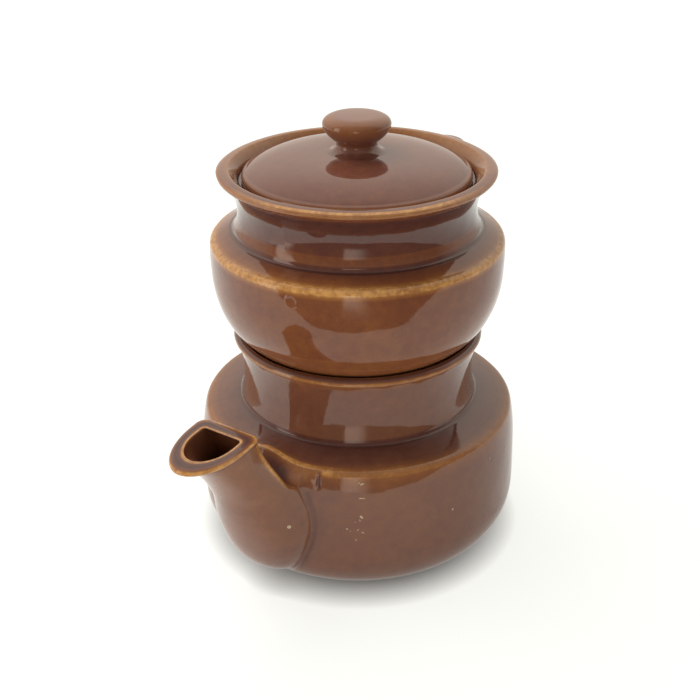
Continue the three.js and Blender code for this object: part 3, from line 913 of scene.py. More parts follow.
@dataclass(frozen=True)
class Spout:
    """The beak spout, cast in a mould: it swells from the pot's side, narrows and opens in a flat mouth.

    Level slices run from a front line to a back line. Each is a half ellipse in front of a straight back
    with rounded corners. The outside follows the slices up to the rolled lip as a solid beak, and a second
    stack of slices, a wall's thickness smaller, is cut out of it as the passage.
    """

    pot: Pot
    reach: float = 130.85
    bottom: float = 6.5
    belly_radius: float = 104.2
    belly_height: float = 64.0
    root_width: float = 50.0
    widest: float = 43.0
    root_top: float = 60.0
    mouth_height: float = 96.5
    mouth_length: float = 32.0
    mouth_width: float = 29.6
    mouth_fall: float = 1.8
    lip_width: float = 4.8
    lip_depth: float = 3.0
    lip_proud: float = 1.0
    corner: float = 4.6
    root_sink: float = 2.5
    root_bury: float = 4.0
    root_rounding: float = 2.0
    fullness: float = 1.7
    back_stand: float = 2.1
    back_sink: float = 8.5
    back_raise: float = 1.0
    roll_at_back: float = 0.42
    # How far within the wall the passage opens, and how far the round front's middle moves up the spout:
    # from within the wall at the bottom, nearer to the back above the root, and forward to the mouth.
    passage_sink: float = 16.0
    middle_sink: float = 6.0
    middle_back: float = 4.3
    middle_lead: float = 9.9
    # How deep the glaze lies on its skin, and how much thinner towards the mouth and on the upright edges of
    # the back; and how much paler a line along the joint is made, as a painted highlight.
    skin_depth: float = 0.46
    skin_drained: float = 0.1
    ridge_thinned: float = 0.34
    joint_highlight: float = 0.09
    line_width: float = 1.6
    roll_points: int = 14
    ledge_points: int = 11

    @property
    def mouth_front(self) -> float:
        """Distance of the mouth's front edge from the axis, without the rolled lip."""
        return self.reach - self.lip_proud

    @property
    def mouth_back(self) -> float:
        """Distance of the mouth's back edge from the axis."""
        return self.mouth_front - self.mouth_length

    def front_line(self) -> Array:
        """Gives the front in the plane of the spout: two Bezier curves that meet at the belly.

        Returns:
            Rows of distance from the axis and height, from the bottom up.
        """
        start = np.array((float(self.pot.wall_radius(self.bottom)) - self.root_sink, self.bottom))
        turn = np.array((self.belly_radius, self.belly_height))
        end = np.array((self.mouth_front, self.mouth_height))
        root, belly = (start + (turn - start) * share for share in ((0.745, 0.198), (0.619, 0.383)))
        throat, tip = (turn + (end - turn) * share for share in ((0.42, 0.696), (0.958, 0.878)))
        lower = bezier(start, root, belly, turn, count=46)
        return np.vstack([lower, bezier(turn, throat, tip, end, count=34)[1:]])

    def half_width(self, height: Array) -> Array:
        """Gives half the width: w (1 - d^p)^(1/p) up to the widest height, then a smooth step to the mouth.

        Args:
            height: heights above the foot, with d the share of the drop to the bottom.

        Returns:
            Half the width at each.
        """
        drop = np.clip((self.widest - height) / (self.widest - self.bottom + 1), 0.0, 0.999)
        lower = 0.5 * self.root_width * (1 - drop**self.fullness) ** (1 / self.fullness)
        share = smoothstep(height, self.widest, 0.9 * self.mouth_height)
        upper = 0.5 * (self.root_width + (self.mouth_width - self.root_width) * share)
        return np.where(height < self.widest, lower, upper)

    def rooting(self, across: Array, height: Array) -> tuple[Array, Array]:
        """Measures how far places on the pot's wall lie from the spout's side.

        Above the widest height that is |y| - half width. Below it, with q = (d^p + w^p)^(1/p), where d is
        the share of the drop to the bottom and w the share of the half width, it is (q - 1) / |grad q|.

        Args:
            across: distance from the plane of the spout.
            height: height above the foot.

        Returns:
            The distance to the side, and the radius of the rounding that joins it to the wall there.
        """
        half, depth, power = 0.5 * self.root_width, self.widest - self.bottom + 1, self.fullness
        drop = np.clip((self.widest - height) / depth, 0.0, None)
        width = np.abs(across) / half
        total = drop**power + width**power + 1e-9
        slope = np.hypot(drop ** (power - 1) / depth, width ** (power - 1) / half)
        lower = (total ** (1 / power) - 1) / (total ** (1 / power - 1) * slope + 1e-9)
        side = self.half_width(np.maximum(height, self.widest))
        gap = np.where(height < self.widest, lower, np.abs(across) - side)
        return gap, self.root_rounding + half - side

    def wall(self, height: Array) -> Array:
        """Gives the pot's radius at heights up to the root's top, and the radius there above it."""
        return self.pot.wall_radius(np.minimum(height, self.root_top))

    def back(self, height: Array, sunk: bool = True) -> Array:
        """Gives the back's distance: a straight line from off the root's top to the mouth.

        Args:
            height: heights above the foot.
            sunk: whether its first part runs into the wall, so that it leaves it in a narrow valley.

        Returns:
            The distance from the axis at each height.
        """
        share = np.clip((height - self.root_top) / (self.mouth_height - self.root_top), 0.0, None)
        start = self.wall(height) + self.back_stand
        line = start + (self.mouth_back - start) * share
        return line - sunk * self.back_sink * (1 - smoothstep(height, self.root_top, self.root_top + 7.0))

    def middle(self, height: Array, front: Array) -> Array:
        """Gives the distance at which a slice stops running straight and rounds over to its front.

        Args:
            height: heights above the foot.
            front: the front's distance there, which it stays 2 mm behind.

        Returns:
            The distance from the axis at each height.
        """
        low = 1 - smoothstep(height, self.bottom, 0.3 * self.mouth_height)
        root = self.wall(height) - WALL - low * self.middle_sink
        leaving = smoothstep(height, self.root_top - 8, self.root_top + 20)
        nearer = self.middle_back * smoothstep(height, self.root_top, self.root_top + 24)
        above = self.back(height, sunk=False) - (self.back_stand + WALL - nearer)
        centre = np.where(height < self.root_top, root, above)
        return np.minimum(centre + leaving * self.middle_lead, front - 2.0)

    def on_side(self, height: Array, turn: Array, lift: Array) -> Array:
        """Gives points on the round front below the mouth: x = c + (f - c) sin u, y = w cos u, z = h.

        Args:
            height: heights h.
            turn: angles u from the side to the front.
            lift: how far each point stands off the clay.

        Returns:
            One point per row.
        """
        line = self.front_line()
        front = np.interp(height, line[:, 1], line[:, 0])
        centre = self.middle(height, front)
        x = centre + (front - centre) * np.sin(turn) + lift * np.sin(turn)
        return np.column_stack([x, (self.half_width(height) + lift) * np.cos(turn), height])

    def slices(self, path: Array, passage: bool) -> Array:
        """Draws a closed slice at every point of a path.

        From the middle of the back a slice runs along the straight back, round a corner, along the side
        and round a quarter ellipse to the front, and back on the other side. Below the root's top the
        back lies inside the pot's wall, x = sqrt(wall^2 - y^2) - bury, or within the pot for the passage.

        Args:
            path: rows of front distance, height and inset from the outside.
            passage: whether these are the slices of the passage.

        Returns:
            Points shaped path by slice by 3.
        """
        front, height, inset = (path[:, i, None] for i in range(3))
        half = self.half_width(height) - inset
        back = self.back(height) + inset
        corner = np.minimum(np.maximum(self.corner - 0.6 * np.clip(inset, 0.0, None), 1.6), 0.4 * half)
        corner = corner * (0.4 + 0.6 * smoothstep(height, self.root_top + 24.0, self.root_top + 32.0))
        centre = np.maximum(self.middle(height, front) + 0.5 * inset, back + corner)
        flat = np.linspace(0.0, 1.0, 9)[None, :-1]
        bend = np.linspace(0.0, 0.5 * np.pi, 9)[None, :-1]
        side = np.linspace(0.0, 1.0, 13)[None, :-1]
        nose = np.linspace(0.0, 0.5 * np.pi, 56)[None, :]
        closed_x = np.hstack([back * np.ones_like(flat), back + corner * (1 - np.cos(bend))])
        closed_y = np.hstack([(half - corner) * flat, half - corner + corner * np.sin(bend)])
        along = np.linspace(0.0, 1.0, closed_x.shape[1], endpoint=False)[None, :]
        wall = self.wall(height)
        open_y = half * along
        if passage:
            free = 1 - smoothstep(height, self.root_top - 7.0, self.root_top - 4.0)
            open_end = wall - self.passage_sink
            open_x = open_end * np.ones_like(along)
        else:
            free = 1 - smoothstep(height, self.root_top - 3.0, self.root_top + 1.0)
            open_x, open_end = (np.sqrt(wall**2 - y**2) - self.root_bury for y in (open_y, half))
        start = (1 - free) * (back + corner) + free * open_end
        side_x = start + (centre - start) * side
        nose_x = centre + (front - inset - centre) * np.sin(nose)
        x = np.hstack([closed_x + free * (open_x - closed_x), side_x, nose_x])
        back_y = closed_y + free * (open_y - closed_y)
        y = np.hstack([back_y, half * np.ones_like(side), half * np.cos(nose)])
        x, y = np.hstack([x, x[:, -2:0:-1]]), np.hstack([-y, y[:, -2:0:-1]])
        return np.stack([x, y, self._tilted(x, height)], axis=-1)

    def _tilted(self, x: Array, height: Array) -> Array:
        """Tilts the slices below the mouth towards the front and draws the lip's roll thinner at the back.

        With D the drop below the mouth and f the share of the way from back to front, a slice point lies
        at mouth + raise (1 - f) - fall f - k D near the mouth, where k rises from its value at the back to
        1 at the front, and the change fades out 16 mm down.

        Args:
            x: the points' distance along the spout.
            height: the level of their slice.

        Returns:
            The points' own heights.
        """
        drop = self.mouth_height - height
        ahead = np.clip((x - self.mouth_back) / self.mouth_length, -0.2, 1.1)
        thin = self.roll_at_back + (1 - self.roll_at_back) * smoothstep(ahead, 0.0, 0.75)
        keep = thin + (1 - thin) * smoothstep(drop, self.lip_depth, self.lip_depth + 7.0)
        change = self.back_raise * (1 - ahead) - self.mouth_fall * ahead
        return self.mouth_height - drop * keep + (1 - smoothstep(drop, 0.0, 16.0)) * change

    def outside_path(self) -> tuple[Array, Array]:
        """Follows the clay up the outside, over the rolled lip and in across the mouth.

        Returns:
            Rows of front, height and inset, and the glaze depth along them.
        """
        front, mouth = self.front_line(), self.mouth_height
        under = mouth - self.lip_depth
        outer = front[front[:, 1] < under - 0.4]
        outer = np.column_stack([outer, np.zeros(len(outer))])
        outer_depth = self.skin_depth - self.skin_drained * smoothstep(outer[:, 1], 50.0, 85.0)
        outer_depth[-4:] = np.linspace(Depth.EVEN, Depth.LEAN, 4)
        bulge = [(-1.6 * self.lip_proud, under + 0.1), (-1.5 * self.lip_proud, mouth - 0.1)]
        roll = bezier((0.0, under), *bulge, (0.6, mouth), count=self.roll_points)
        ends = [self.mouth_front - self.lip_depth, self.mouth_front]
        reach = np.interp(np.arange(self.roll_points), [0, 4], ends)
        rolled = np.column_stack([reach, roll[:, 1], roll[:, 0]])
        gold = [Depth.LEAN, 0.5 * (Depth.LEAN + Depth.EDGE), *[Depth.EDGE] * 8]
        level = np.linspace(1.0, self.lip_width + 1.4, self.ledge_points)
        flat = np.column_stack([self.mouth_front - 0.5 * level, np.full_like(level, mouth), level])
        flat_depth = np.interp(level, [1.0, 1.4, 3.1, 3.6], [0.7, Depth.POOL, Depth.DEEP, 0.06])
        depth = np.concatenate([outer_depth, gold, np.linspace(0.1, 0.6, 4), flat_depth])
        return np.vstack([outer, rolled, flat]), depth

    def passage_path(self) -> tuple[Array, Array]:
        """Follows the passage from the pot up to the mouth, round its inner edge and out above it.

        Returns:
            Rows of front, height and inset, and the glaze depth along them.
        """
        mouth = self.mouth_height
        inner = offset(self.front_line(), WALL)
        inner = inner[(inner[:, 1] < mouth - 1.6) & (inner[:, 1] > 11.5)][::2]
        inset = WALL + (self.lip_width - WALL) * smoothstep(inner[:, 1], self.root_top, mouth)
        below = np.column_stack([inner[:, 0] + inset, inner[:, 1], inset])
        tip = np.full(5, self.mouth_front - 0.5 * self.lip_width)
        width = self.lip_width - np.array([0.0, 0.06, 0.3, 0.9, 1.5])
        height = mouth + np.array([-1.0, -0.5, -0.12, 0.3, 2.0])
        depth = np.linspace(Depth.POOL, Depth.EVEN, len(below))
        depth[-3:] = 0.24
        rows = np.vstack([below, np.column_stack([tip, height, width])])
        return rows, np.concatenate([depth, [0.3, 0.1, 0.05, 0.05, 0.05]])

    def build(self, wall: Wall) -> Piece:
        """Lofts the spout as a solid beak and cuts the passage.

        Args:
            wall: the outside of the pot.

        Returns:
            The spout's object.
        """
        rows, depth = self.outside_path()
        grid = self.slices(rows, passage=False)
        outside = int((rows[:, 1] < self.mouth_height - self.lip_depth).sum())
        depth = np.repeat(depth[:, None], grid.shape[1], axis=1)
        skin, height = grid[:outside], rows[:outside, 1]
        ridge = bell(skin[..., 0] - self.back(height)[:, None] - 2.0, self.line_width)
        ridge = ridge * smoothstep(height, self.root_top + 2.0, self.root_top + 14.0)[:, None]
        depth[:outside] -= self.ridge_thinned * ridge
        gap, _ = wall.distance(skin)
        band = smoothstep(skin[..., 2], self.pot.thin_from - 0.8, self.pot.thin_from + 1.2)
        joint = 1 - smoothstep(gap, 3.0, 9.0)
        depth[:outside] += (self.pot.edge_depth - depth[:outside]) * band * joint
        # A paler line along the joint: painted highlight.
        joint_highlight_line = bell(gap - 3.4, self.line_width) * smoothstep(skin[..., 2], 30.0, 44.0)
        depth[:outside] -= self.joint_highlight * joint_highlight_line * (1 - band)
        beak = mesh_object("lower_spout_beak", grid, depth)
        cut(beak, self.passage(), 50.0)
        return beak

    def passage(self) -> Piece:
        """Makes the passage as a closed body, which is cut out of the beak and of the pot's wall.

        Returns:
            The cutter.
        """
        rows, depth = self.passage_path()
        return mesh_object("passage_cutter", self.slices(rows, passage=True), depth[:, None])


@dataclass
class LowerPot:
    """The lower pot: body, beak spout and strap handle, one casting once it is fired."""

    pot: Pot
    spout: Spout
    handle: Strap
    lift: float = 5.5
    lift_angle: float = 9.0
    notch_angle: float = 20.6
    notch_height: float = 66.0
    notch_depth: float = 0.45
    notch_pool: float = 0.45
    # Share of the rounding at the spout's root that is swollen, so that it stays off the upright.
    swelling: float = 0.97
    crest_width: float = 2.1
    crest_reach: float = 26.0
    crest_radius: float = 71.0
    groove_pool: float = 0.16
    web_depth: float = 0.26

    def build(self, glaze: Finish, clay: Finish) -> None:
        """Builds and dresses the lower pot.

        Args:
            glaze: the glaze all over it.
            clay: the bare clay under its foot.
        """
        rows = self.pot.section()
        angles = turning_angles(beside=28.0)
        grid, depth = self.pot.shaped(rows, angles), self.pot.depths(rows, angles)
        grid, depth = self._swell(grid, depth, rows)
        depth = depth + self.notch_pool * self._notch(rows, angles)
        grid = self._raise_shoulder(grid, rows, angles)
        body = mesh_object("lower_pot_casting", grid, depth)
        cut(body, self.spout.passage())
        self._bare_foot(body)
        wall = Wall(outline(self.pot.outside()))
        beak = self.spout.build(wall)
        strap = self.handle.build(wall, self.pot.base)
        for piece, node, materials in (
            (body, "lower_pot_body", [glaze, clay]),
            (beak, "lower_pot_spout", [glaze]),
            (strap, "lower_pot_handle", [glaze]),
        ):
            dress(piece, "lower_pot", materials)
            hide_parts(node)

    def _outer(self, rows: Array) -> Array:
        """Tells for each row of the section whether it lies on the outside."""
        return np.arange(len(rows)) < len(outline(self.pot.outside()))

    def _swell(self, grid: Array, depth: Array, rows: Array) -> tuple[Array, Array]:
        """Swells the wall up to the spout's side, as the rounding in the mould does.

        With s the share of the way through a rounding of radius R, a point moves along the wall's normal
        by R (1 - sqrt(1 - (0.97 s)^2)). Below the shoulder's edge the swelling fades out, which leaves a
        sloping web beside the spout and a valley behind it.

        Args:
            grid: the body's points.
            depth: the glaze depth at each.
            rows: the section's points.

        Returns:
            The swollen points and their glaze depth, darkened to pool colour in the valley behind the spout
            as painted shade.
        """
        run = directions(rows[:, :2])
        top, thin, height = self.pot.shoulder_height, self.pot.thin_from, rows[:, 1, None]
        before = self._outer(rows)[:, None] * (grid[..., 0] > 0)
        gap, radius = self.spout.rooting(grid[..., 1], np.broadcast_to(height, grid.shape[:2]))
        near = before * smoothstep(height, 8.0, 20.0) * (height < top)
        share = np.clip(1 - gap / radius, 0.0, 1.0)
        fade = near * (1 - smoothstep(height, top - 7.0, top - 0.8))
        rise = radius * (1 - np.sqrt(1 - (self.swelling * share) ** 2)) * fade
        moved = grid.copy()
        moved[..., :2] *= (1 + rise * run[:, 1, None] / np.hypot(grid[..., 0], grid[..., 1]))[..., None]
        moved[..., 2] -= rise * run[:, 0, None]
        crest = before * (1 - smoothstep(gap, 0.0, self.crest_reach))
        crest = crest * bell(height - top + 0.4, self.crest_width) * (rows[:, 0, None] > self.crest_radius)
        depth = depth + crest * (Depth.EDGE - depth)
        high = smoothstep(height, thin - 0.8, thin + 1.2)
        depth = depth + self.groove_pool * bell(gap - 1.2, 0.9) * near * (1 - high)
        thinner = self.web_depth + 0.2 * (1 - smoothstep(height, top - 8.0, top - 1.0))
        depth = depth + near * smoothstep(share, 0.0, 0.4) * high * (thinner - depth)
        # The valley behind the spout is set to pool colour: painted shade where it lies in shadow.
        valley = near * high * (1 - smoothstep(gap, -9.0, -3.0)) * (1 - smoothstep(height, top - 4.0, top))
        return moved, depth + valley * (Depth.POOL - depth)

    def _raise_shoulder(self, grid: Array, rows: Array, angles: Array) -> Array:
        """Lifts the shoulder's edge behind the spout, where the clay runs up, and presses in the notch.

        The lift is lift exp(-(a / w)^2) e(s), with a the angle from the spout and e a bell about the
        shoulder's edge, 5 mm wide down the wall and 8 mm wide up the shoulder.

        Args:
            grid: the body's points.
            rows: the section's points.
            angles: angles round the axis in radians.

        Returns:
            The points with both.
        """
        top, edge_radius = self.pot.shoulder_height, self.pot.shoulder_radius
        down = np.clip(top - rows[:, 1], 0.0, None)
        inward = np.clip(edge_radius - rows[:, 0], 0.0, None) * (rows[:, 1] > top - 3)
        edge = bell(down, 5.0) * bell(inward, 8.0) * self._outer(rows)
        edge[rows[:, 1] > top + self.pot.shoulder_rise + 1] = 0.0
        raised = grid.copy()
        raised[..., 2] += self.lift * edge[:, None] * bell(bearing(angles), self.lift_angle)[None, :]
        raised[..., :2] *= (1 - self.notch_depth * self._notch(rows, angles) / edge_radius)[..., None]
        return raised

    def _notch(self, rows: Array, angles: Array) -> Array:
        """Gives the short upright notch on both sides of the spout: exp(-(s / 0.9)^2 - (h / 3.6)^4).

        Args:
            rows: the section's points.
            angles: angles round the axis in radians.

        Returns:
            Its depth as a share, shaped rows by angles.
        """
        away = np.abs(bearing(angles))[None, :] - self.notch_angle
        side = away * math.radians(self.pot.shoulder_radius)
        along = rows[:, 1, None] - self.notch_height
        return np.exp(-((side / 0.9) ** 2) - (along / 3.6) ** 4) * self._outer(rows)[:, None]

    def _bare_foot(self, body: Piece) -> None:
        """Leaves the underside free of glaze, since a glazed foot would stick to the kiln shelf.

        Args:
            body: the pot's body, whose second material is the bare clay.
        """
        polygons = body.data.polygons
        centres = np.zeros(len(polygons) * 3, np.float32)
        polygons.foreach_get("center", centres)
        under = (centres.reshape(-1, 3)[:, 2] < 0.02 * MM).astype(np.int32)
        polygons.foreach_set("material_index", under)


@dataclass
class UpperPot:
    """The upper pot: body, strap handle and the pierced strainer in its floor."""

    pot: Pot
    handle: Strap
    strainer_radius: float = 32.0
    hole: float = 3.0
    pitch: float = 9.0
    rings: int = 3

    def build(self, glaze: Finish) -> None:
        """Builds and dresses the upper pot.

        Args:
            glaze: the glaze all over it.
        """
        rows, angles = self.pot.section(self.strainer_radius), turning_angles()
        grid, depth = self.pot.shaped(rows, angles), self.pot.depths(rows, angles)
        body = mesh_object("upper_pot_casting", grid, depth, close_rows=True)
        outside = outline(self.pot.outside())
        outside[:, 1] += self.pot.base
        strap = self.handle.build(Wall(outside), self.pot.base)
        strainer = self._strainer()
        for piece, node in (
            (body, "upper_pot_body"),
            (strainer, "upper_pot_body"),
            (strap, "upper_pot_handle"),
        ):
            dress(piece, "upper_pot", [glaze])
            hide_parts(node)

    def _strainer(self) -> Piece:
        """Makes the middle of the floor, a disc pierced by rings of round holes with softened rims.

        Returns:
            The pierced disc.
        """
        edge = self.strainer_radius
        under = ([(0.0, 0.0), (edge, 0.0)], Depth.EVEN, Depth.EVEN)
        over = ([(edge, FLOOR), (0.0, FLOOR)], Depth.DEEP, Depth.DEEP)
        rows = outline([under, over])
        grid = turned(rows, np.linspace(0.0, 2 * np.pi, 120, endpoint=False), self.pot.base)
        plate = mesh_object("strainer_floor", grid, rows[:, 2, None])
        cut(plate, self._punches(), 30.0)
        return plate

    def _punches(self) -> Piece:
        """Makes all the punches as one body: short pins with flared ends on rings of 6, 12 and 18.

        Returns:
            The cutter.
        """
        radius, flare, over = self.hole / 2, 0.5, 0.6
        wide = radius + flare
        profile = [(0.0, -over), (wide + 0.4, -over), (wide, 0.0), (radius, flare)]
        profile += [(distance, FLOOR - height) for distance, height in profile[::-1]]
        pin = turned(np.array(profile), np.linspace(0.0, 2 * np.pi, 20, endpoint=False), self.pot.base)
        centres = [(0.0, 0.0)]
        for ring in range(1, self.rings + 1):
            turns = 2 * np.pi * np.arange(6 * ring) / (6 * ring)
            centres += list(zip(ring * self.pitch * np.cos(turns), ring * self.pitch * np.sin(turns)))
        pins = [
            mesh_object(f"punch_{i}", pin + np.array((x, y, 0.0)), float(Depth.THIN))
            for i, (x, y) in enumerate(centres)
        ]
        joined = bmesh.new()
        for punch in pins:
            joined.from_mesh(punch.data)
        joined.to_mesh(pins[0].data)
        joined.free()
        for punch in pins[1:]:
            bpy.data.objects.remove(punch)
        return pins[0]


@dataclass
class Lid:
    """The domed lid with its locating ring and its knob."""

    base: float = LID_HEIGHT
    radius: float = 52.3
    thickness: float = 4.4
    rise: float = 7.9
    edge: float = 1.5
    fullness: float = 0.76
    seat: float = 13.6
    ring_outer: float = 47.0
    ring_wall: float = 3.6
    ring_depth: float = 6.0
    knob_radius: float = 15.5
    knob_waist: float = 9.2
    knob_waist_height: float = 3.4
    knob_height: float = 16.5
    knob_head: float = 4.4

    def build(self, glaze: Finish, knob_glaze: Finish) -> None:
        """Builds and dresses the lid and its knob.

        Args:
            glaze: the glaze on the dome.
            knob_glaze: the glaze on the knob, which lies thinner.
        """
        angles = turning_angles(fine=0.5, reach=3.0)
        crown = self.base + self.thickness + self.rise
        for name, node, rows, base, material in (
            ("lid_dome", "lid", self._plate(), self.base, glaze),
            ("lid_knob_turned", "lid_knob", self._knob(), crown, knob_glaze),
        ):
            piece = mesh_object(name, turned(rows, angles, base), rows[:, 2, None])
            dress(piece, "lid", [material])
            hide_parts(node)

    def _plate(self) -> Array:
        """Gives the lid's section: hollow underside, ring, seat, rounded edge and dome.

        Returns:
            Rows of radius, height above the lid's base and glaze depth.
        """
        inner, outer, low = self.ring_outer - self.ring_wall, self.ring_outer, -self.ring_depth
        crown, radius, edge = self.thickness + self.rise, self.radius, self.edge
        brow = (radius - edge - 0.6, self.thickness + 0.15)
        hollow = [(reach, crown - self.thickness) for reach in (self.seat, self.fullness * inner)]
        under = bezier(*hollow, (inner - 1.0, 1.5), count=20)
        ring_inside = [(inner - 0.4, 0.4), (inner, -1.0), (inner, 0.5 + low), (inner + 0.5, low)]
        ring_outside = [(outer - 1.3, low), (outer - 0.8, 0.5 + low), (outer - 0.1, -0.6), (outer + 0.5, 0.0)]
        side = bezier((radius - edge, 0.0), (radius, 0.0), (radius, edge), count=6)
        brim = bezier((radius, edge), (radius, self.thickness - 0.2), brow)
        dome = bezier(brow, (self.fullness * radius, crown - 0.1), (self.seat - 0.6, crown), count=44)
        stretches = [
            ([(0.0, crown - self.thickness)], Depth.EVEN, Depth.EVEN),
            (under, Depth.EVEN, Depth.DEEP),
            (ring_inside, Depth.DEEP, Depth.THIN),
            (ring_outside, Depth.THIN, Depth.EVEN),
            (side, Depth.EVEN, Depth.LEAN),
            (brim[:6], Depth.LEAN, Depth.LEAN),
            (brim[6:], Depth.LEAN, Depth.EVEN),
            (dome, Depth.EVEN, Depth.EVEN),
            ([(self.seat - 1.2, crown), (0.0, crown)], Depth.DEEP, Depth.DEEP),
        ]
        return outline(stretches)

    def _knob(self) -> Array:
        """Gives the knob's section from the lid's crown: flared base, waist, cone and flattened head.

        Returns:
            Rows of radius, height above the crown and glaze depth.
        """
        crest, radius = self.knob_height + SEAT_GAP, self.knob_radius
        head, top = crest - self.knob_head, 0.62 * radius
        waist = (self.knob_waist, self.knob_waist_height + SEAT_GAP)
        foot = [(self.seat - 0.3, 0.04), (self.seat - 1.9, 0.06)]
        fillet = bezier(*foot, (waist[0] + 0.05, 0.5 * self.knob_waist_height), waist, count=22)
        flank = [(waist[0] + 0.2, 1.5 * waist[1]), (0.94 * radius, 0.6 * head)]
        cone = bezier(waist, *flank, (radius, head), count=26)
        round_off = [(radius + 0.05, head + 2.2), (0.86 * radius, crest - 0.6)]
        crown = bezier((radius, head), *round_off, (top, crest - 0.3), count=22)
        plate = bezier((top, crest - 0.3), (0.4 * top, crest), (0.0, crest), count=8)
        stretches = [
            ([(0.0, -0.5), (self.seat - 0.3, -0.5)], Depth.DEEP, Depth.DEEP),
            (fillet, Depth.DEEP, Depth.EVEN),
            (cone[:16], Depth.EVEN, Depth.EVEN),
            (cone[16:], Depth.EVEN, Depth.LEAN),
            (crown[:12], Depth.LEAN, Depth.LEAN),
            (crown[12:], Depth.LEAN, Depth.EVEN),
            (plate, Depth.EVEN, Depth.EVEN),
        ]
        return outline(stretches)


@dataclass(frozen=True)
class Chip:
    """A small spot where the glaze came away, by its place on the wall and its size."""

    angle: float
    height: float
    length: float
    width: float
    turn: float = 0.0


@dataclass
class WallChips:
    """The pale chips and pin marks on the front of the lower pot, all in one mesh."""

    pot: Pot
    spout: Spout
    chips: tuple[Chip, ...] = (
        Chip(35.2, 65.4, 1.5, 0.7, 10.0),
        Chip(34.2, 66.0, 0.7, 0.5, 40.0),
        Chip(35.1, 58.5, 2.0, 0.5, 4.0),
        Chip(34.9, 48.9, 0.9, 1.5, 20.0),
        Chip(34.4, 47.2, 0.6, 0.6),
        Chip(32.8, 46.3, 0.5, 0.4),
        Chip(30.1, 42.5, 0.9, 0.5, -40.0),
        Chip(31.2, 41.4, 0.6, 0.3, 35.0),
        Chip(33.7, 42.0, 1.0, 0.4, 50.0),
        Chip(35.4, 40.6, 1.2, 0.4, -25.0),
        Chip(33.1, 36.6, 0.7, 0.4, -50.0),
        Chip(67.5, 44.0, 0.9, 0.8),
        Chip(86.5, 59.8, 0.5, 1.1, 10.0),
        Chip(89.1, 56.9, 0.6, 0.5),
    )
    pin_height: float = 47.87
    pin_turn: float = 0.544
    pin_radius: float = 0.9
    proud: float = 0.05
    scale: float = 0.6
    points: int = 14

    def build(self, clay: Finish) -> None:
        """Builds and dresses the chips, each a fan of points round its centre, and the pin mark.

        Args:
            clay: the bare clay that shows in them.
        """
        fans = np.vstack([*(self._chip(i, chip) for i, chip in enumerate(self.chips)), self._pin()])
        order = np.arange(self.points)
        fan = np.column_stack([np.zeros_like(order), 1 + order, 1 + (order + 1) % self.points])
        first = (self.points + 1) * np.arange(len(self.chips) + 1)
        piece = sheet("glaze_chips", fans, (first[:, None, None] + fan).reshape(-1, 3))
        dress(piece, "lower_pot", [clay])

    def _round(self) -> Array:
        """Gives the angles of a fan's points round its centre."""
        return np.linspace(0.0, 2 * np.pi, self.points, endpoint=False)

    def _chip(self, index: int, chip: Chip) -> Array:
        """Lays a ragged spot on the wall.

        Its points lie at radius 1 + 0.3 sin(2u + k) + 0.2 sin(5u + 2k), scaled to its length and width
        and turned.

        Args:
            index: the chip's number k.
            chip: its place and size.

        Returns:
            Its centre and its points.
        """
        turn, tilt = self._round(), math.radians(chip.turn)
        ragged = 1 + 0.3 * np.sin(2 * turn + index) + 0.2 * np.sin(5 * turn + 2 * index)
        u = self.scale * chip.length * ragged * np.cos(turn)
        v = self.scale * chip.width * ragged * np.sin(turn)
        across = u * math.cos(tilt) - v * math.sin(tilt)
        up = u * math.sin(tilt) + v * math.cos(tilt)
        height = np.concatenate([[chip.height], chip.height + up])
        radius = self.pot.wall_radius(height) + self.proud
        radius[0] += self.proud
        angle = math.radians(chip.angle) + np.concatenate([[0.0], across]) / radius
        return np.column_stack([radius * np.cos(angle), radius * np.sin(angle), height])

    def _pin(self) -> Array:
        """Gives the centre and the points of the round pin mark on the spout's side.

        Returns:
            One point per row, the centre first.
        """
        turn = self._round()
        height = self.pin_height + self.pin_radius * np.concatenate([[0.0], np.cos(turn)])
        across = np.concatenate([[0.0], np.sin(turn)]) * self.pin_radius / (0.5 * self.spout.root_width)
        lift = self.proud + np.concatenate([[self.proud], 0.0 * turn])
        return self.spout.on_side(height, self.pin_turn + across, lift)


@dataclass(frozen=True)
class Softbox:
    """An even white rectangular light that looks at the pots."""

    name: str
    azimuth: float
    elevation: float
    distance: float
    width: float
    height: float
    power: float

    def build(self, target: Vector) -> None:
        """Hangs the light at its bearing from the target and turns it to face it.

        Args:
            target: the point that the light looks at, in metres.
        """
        azimuth, elevation = math.radians(self.azimuth), math.radians(self.elevation)
        level = math.cos(elevation)
        away = Vector((math.sin(azimuth) * level, -math.cos(azimuth) * level, math.sin(elevation)))
        lamp = bpy.data.lights.new(self.name, "AREA")
        lamp.shape = "RECTANGLE"
        lamp.size, lamp.size_y = self.width, self.height
        lamp.energy = self.power
        light = placed(self.name, lamp)
        light.location = target + away * self.distance
        light.visible_glossy = False
        light.rotation_euler = away.to_track_quat("Z", "Y").to_euler()


@dataclass(frozen=True)
class Glow:
    """A bright soft-edged patch of the surroundings, such as a window, that only reflections see.

    Its bearings are degrees to the right of the viewer's own, with the width of each soft edge.
    """

    left: float
    right: float
    bottom: float
    top: float
    strength: float
    soft_left: float
    soft_right: float
    soft_level: float


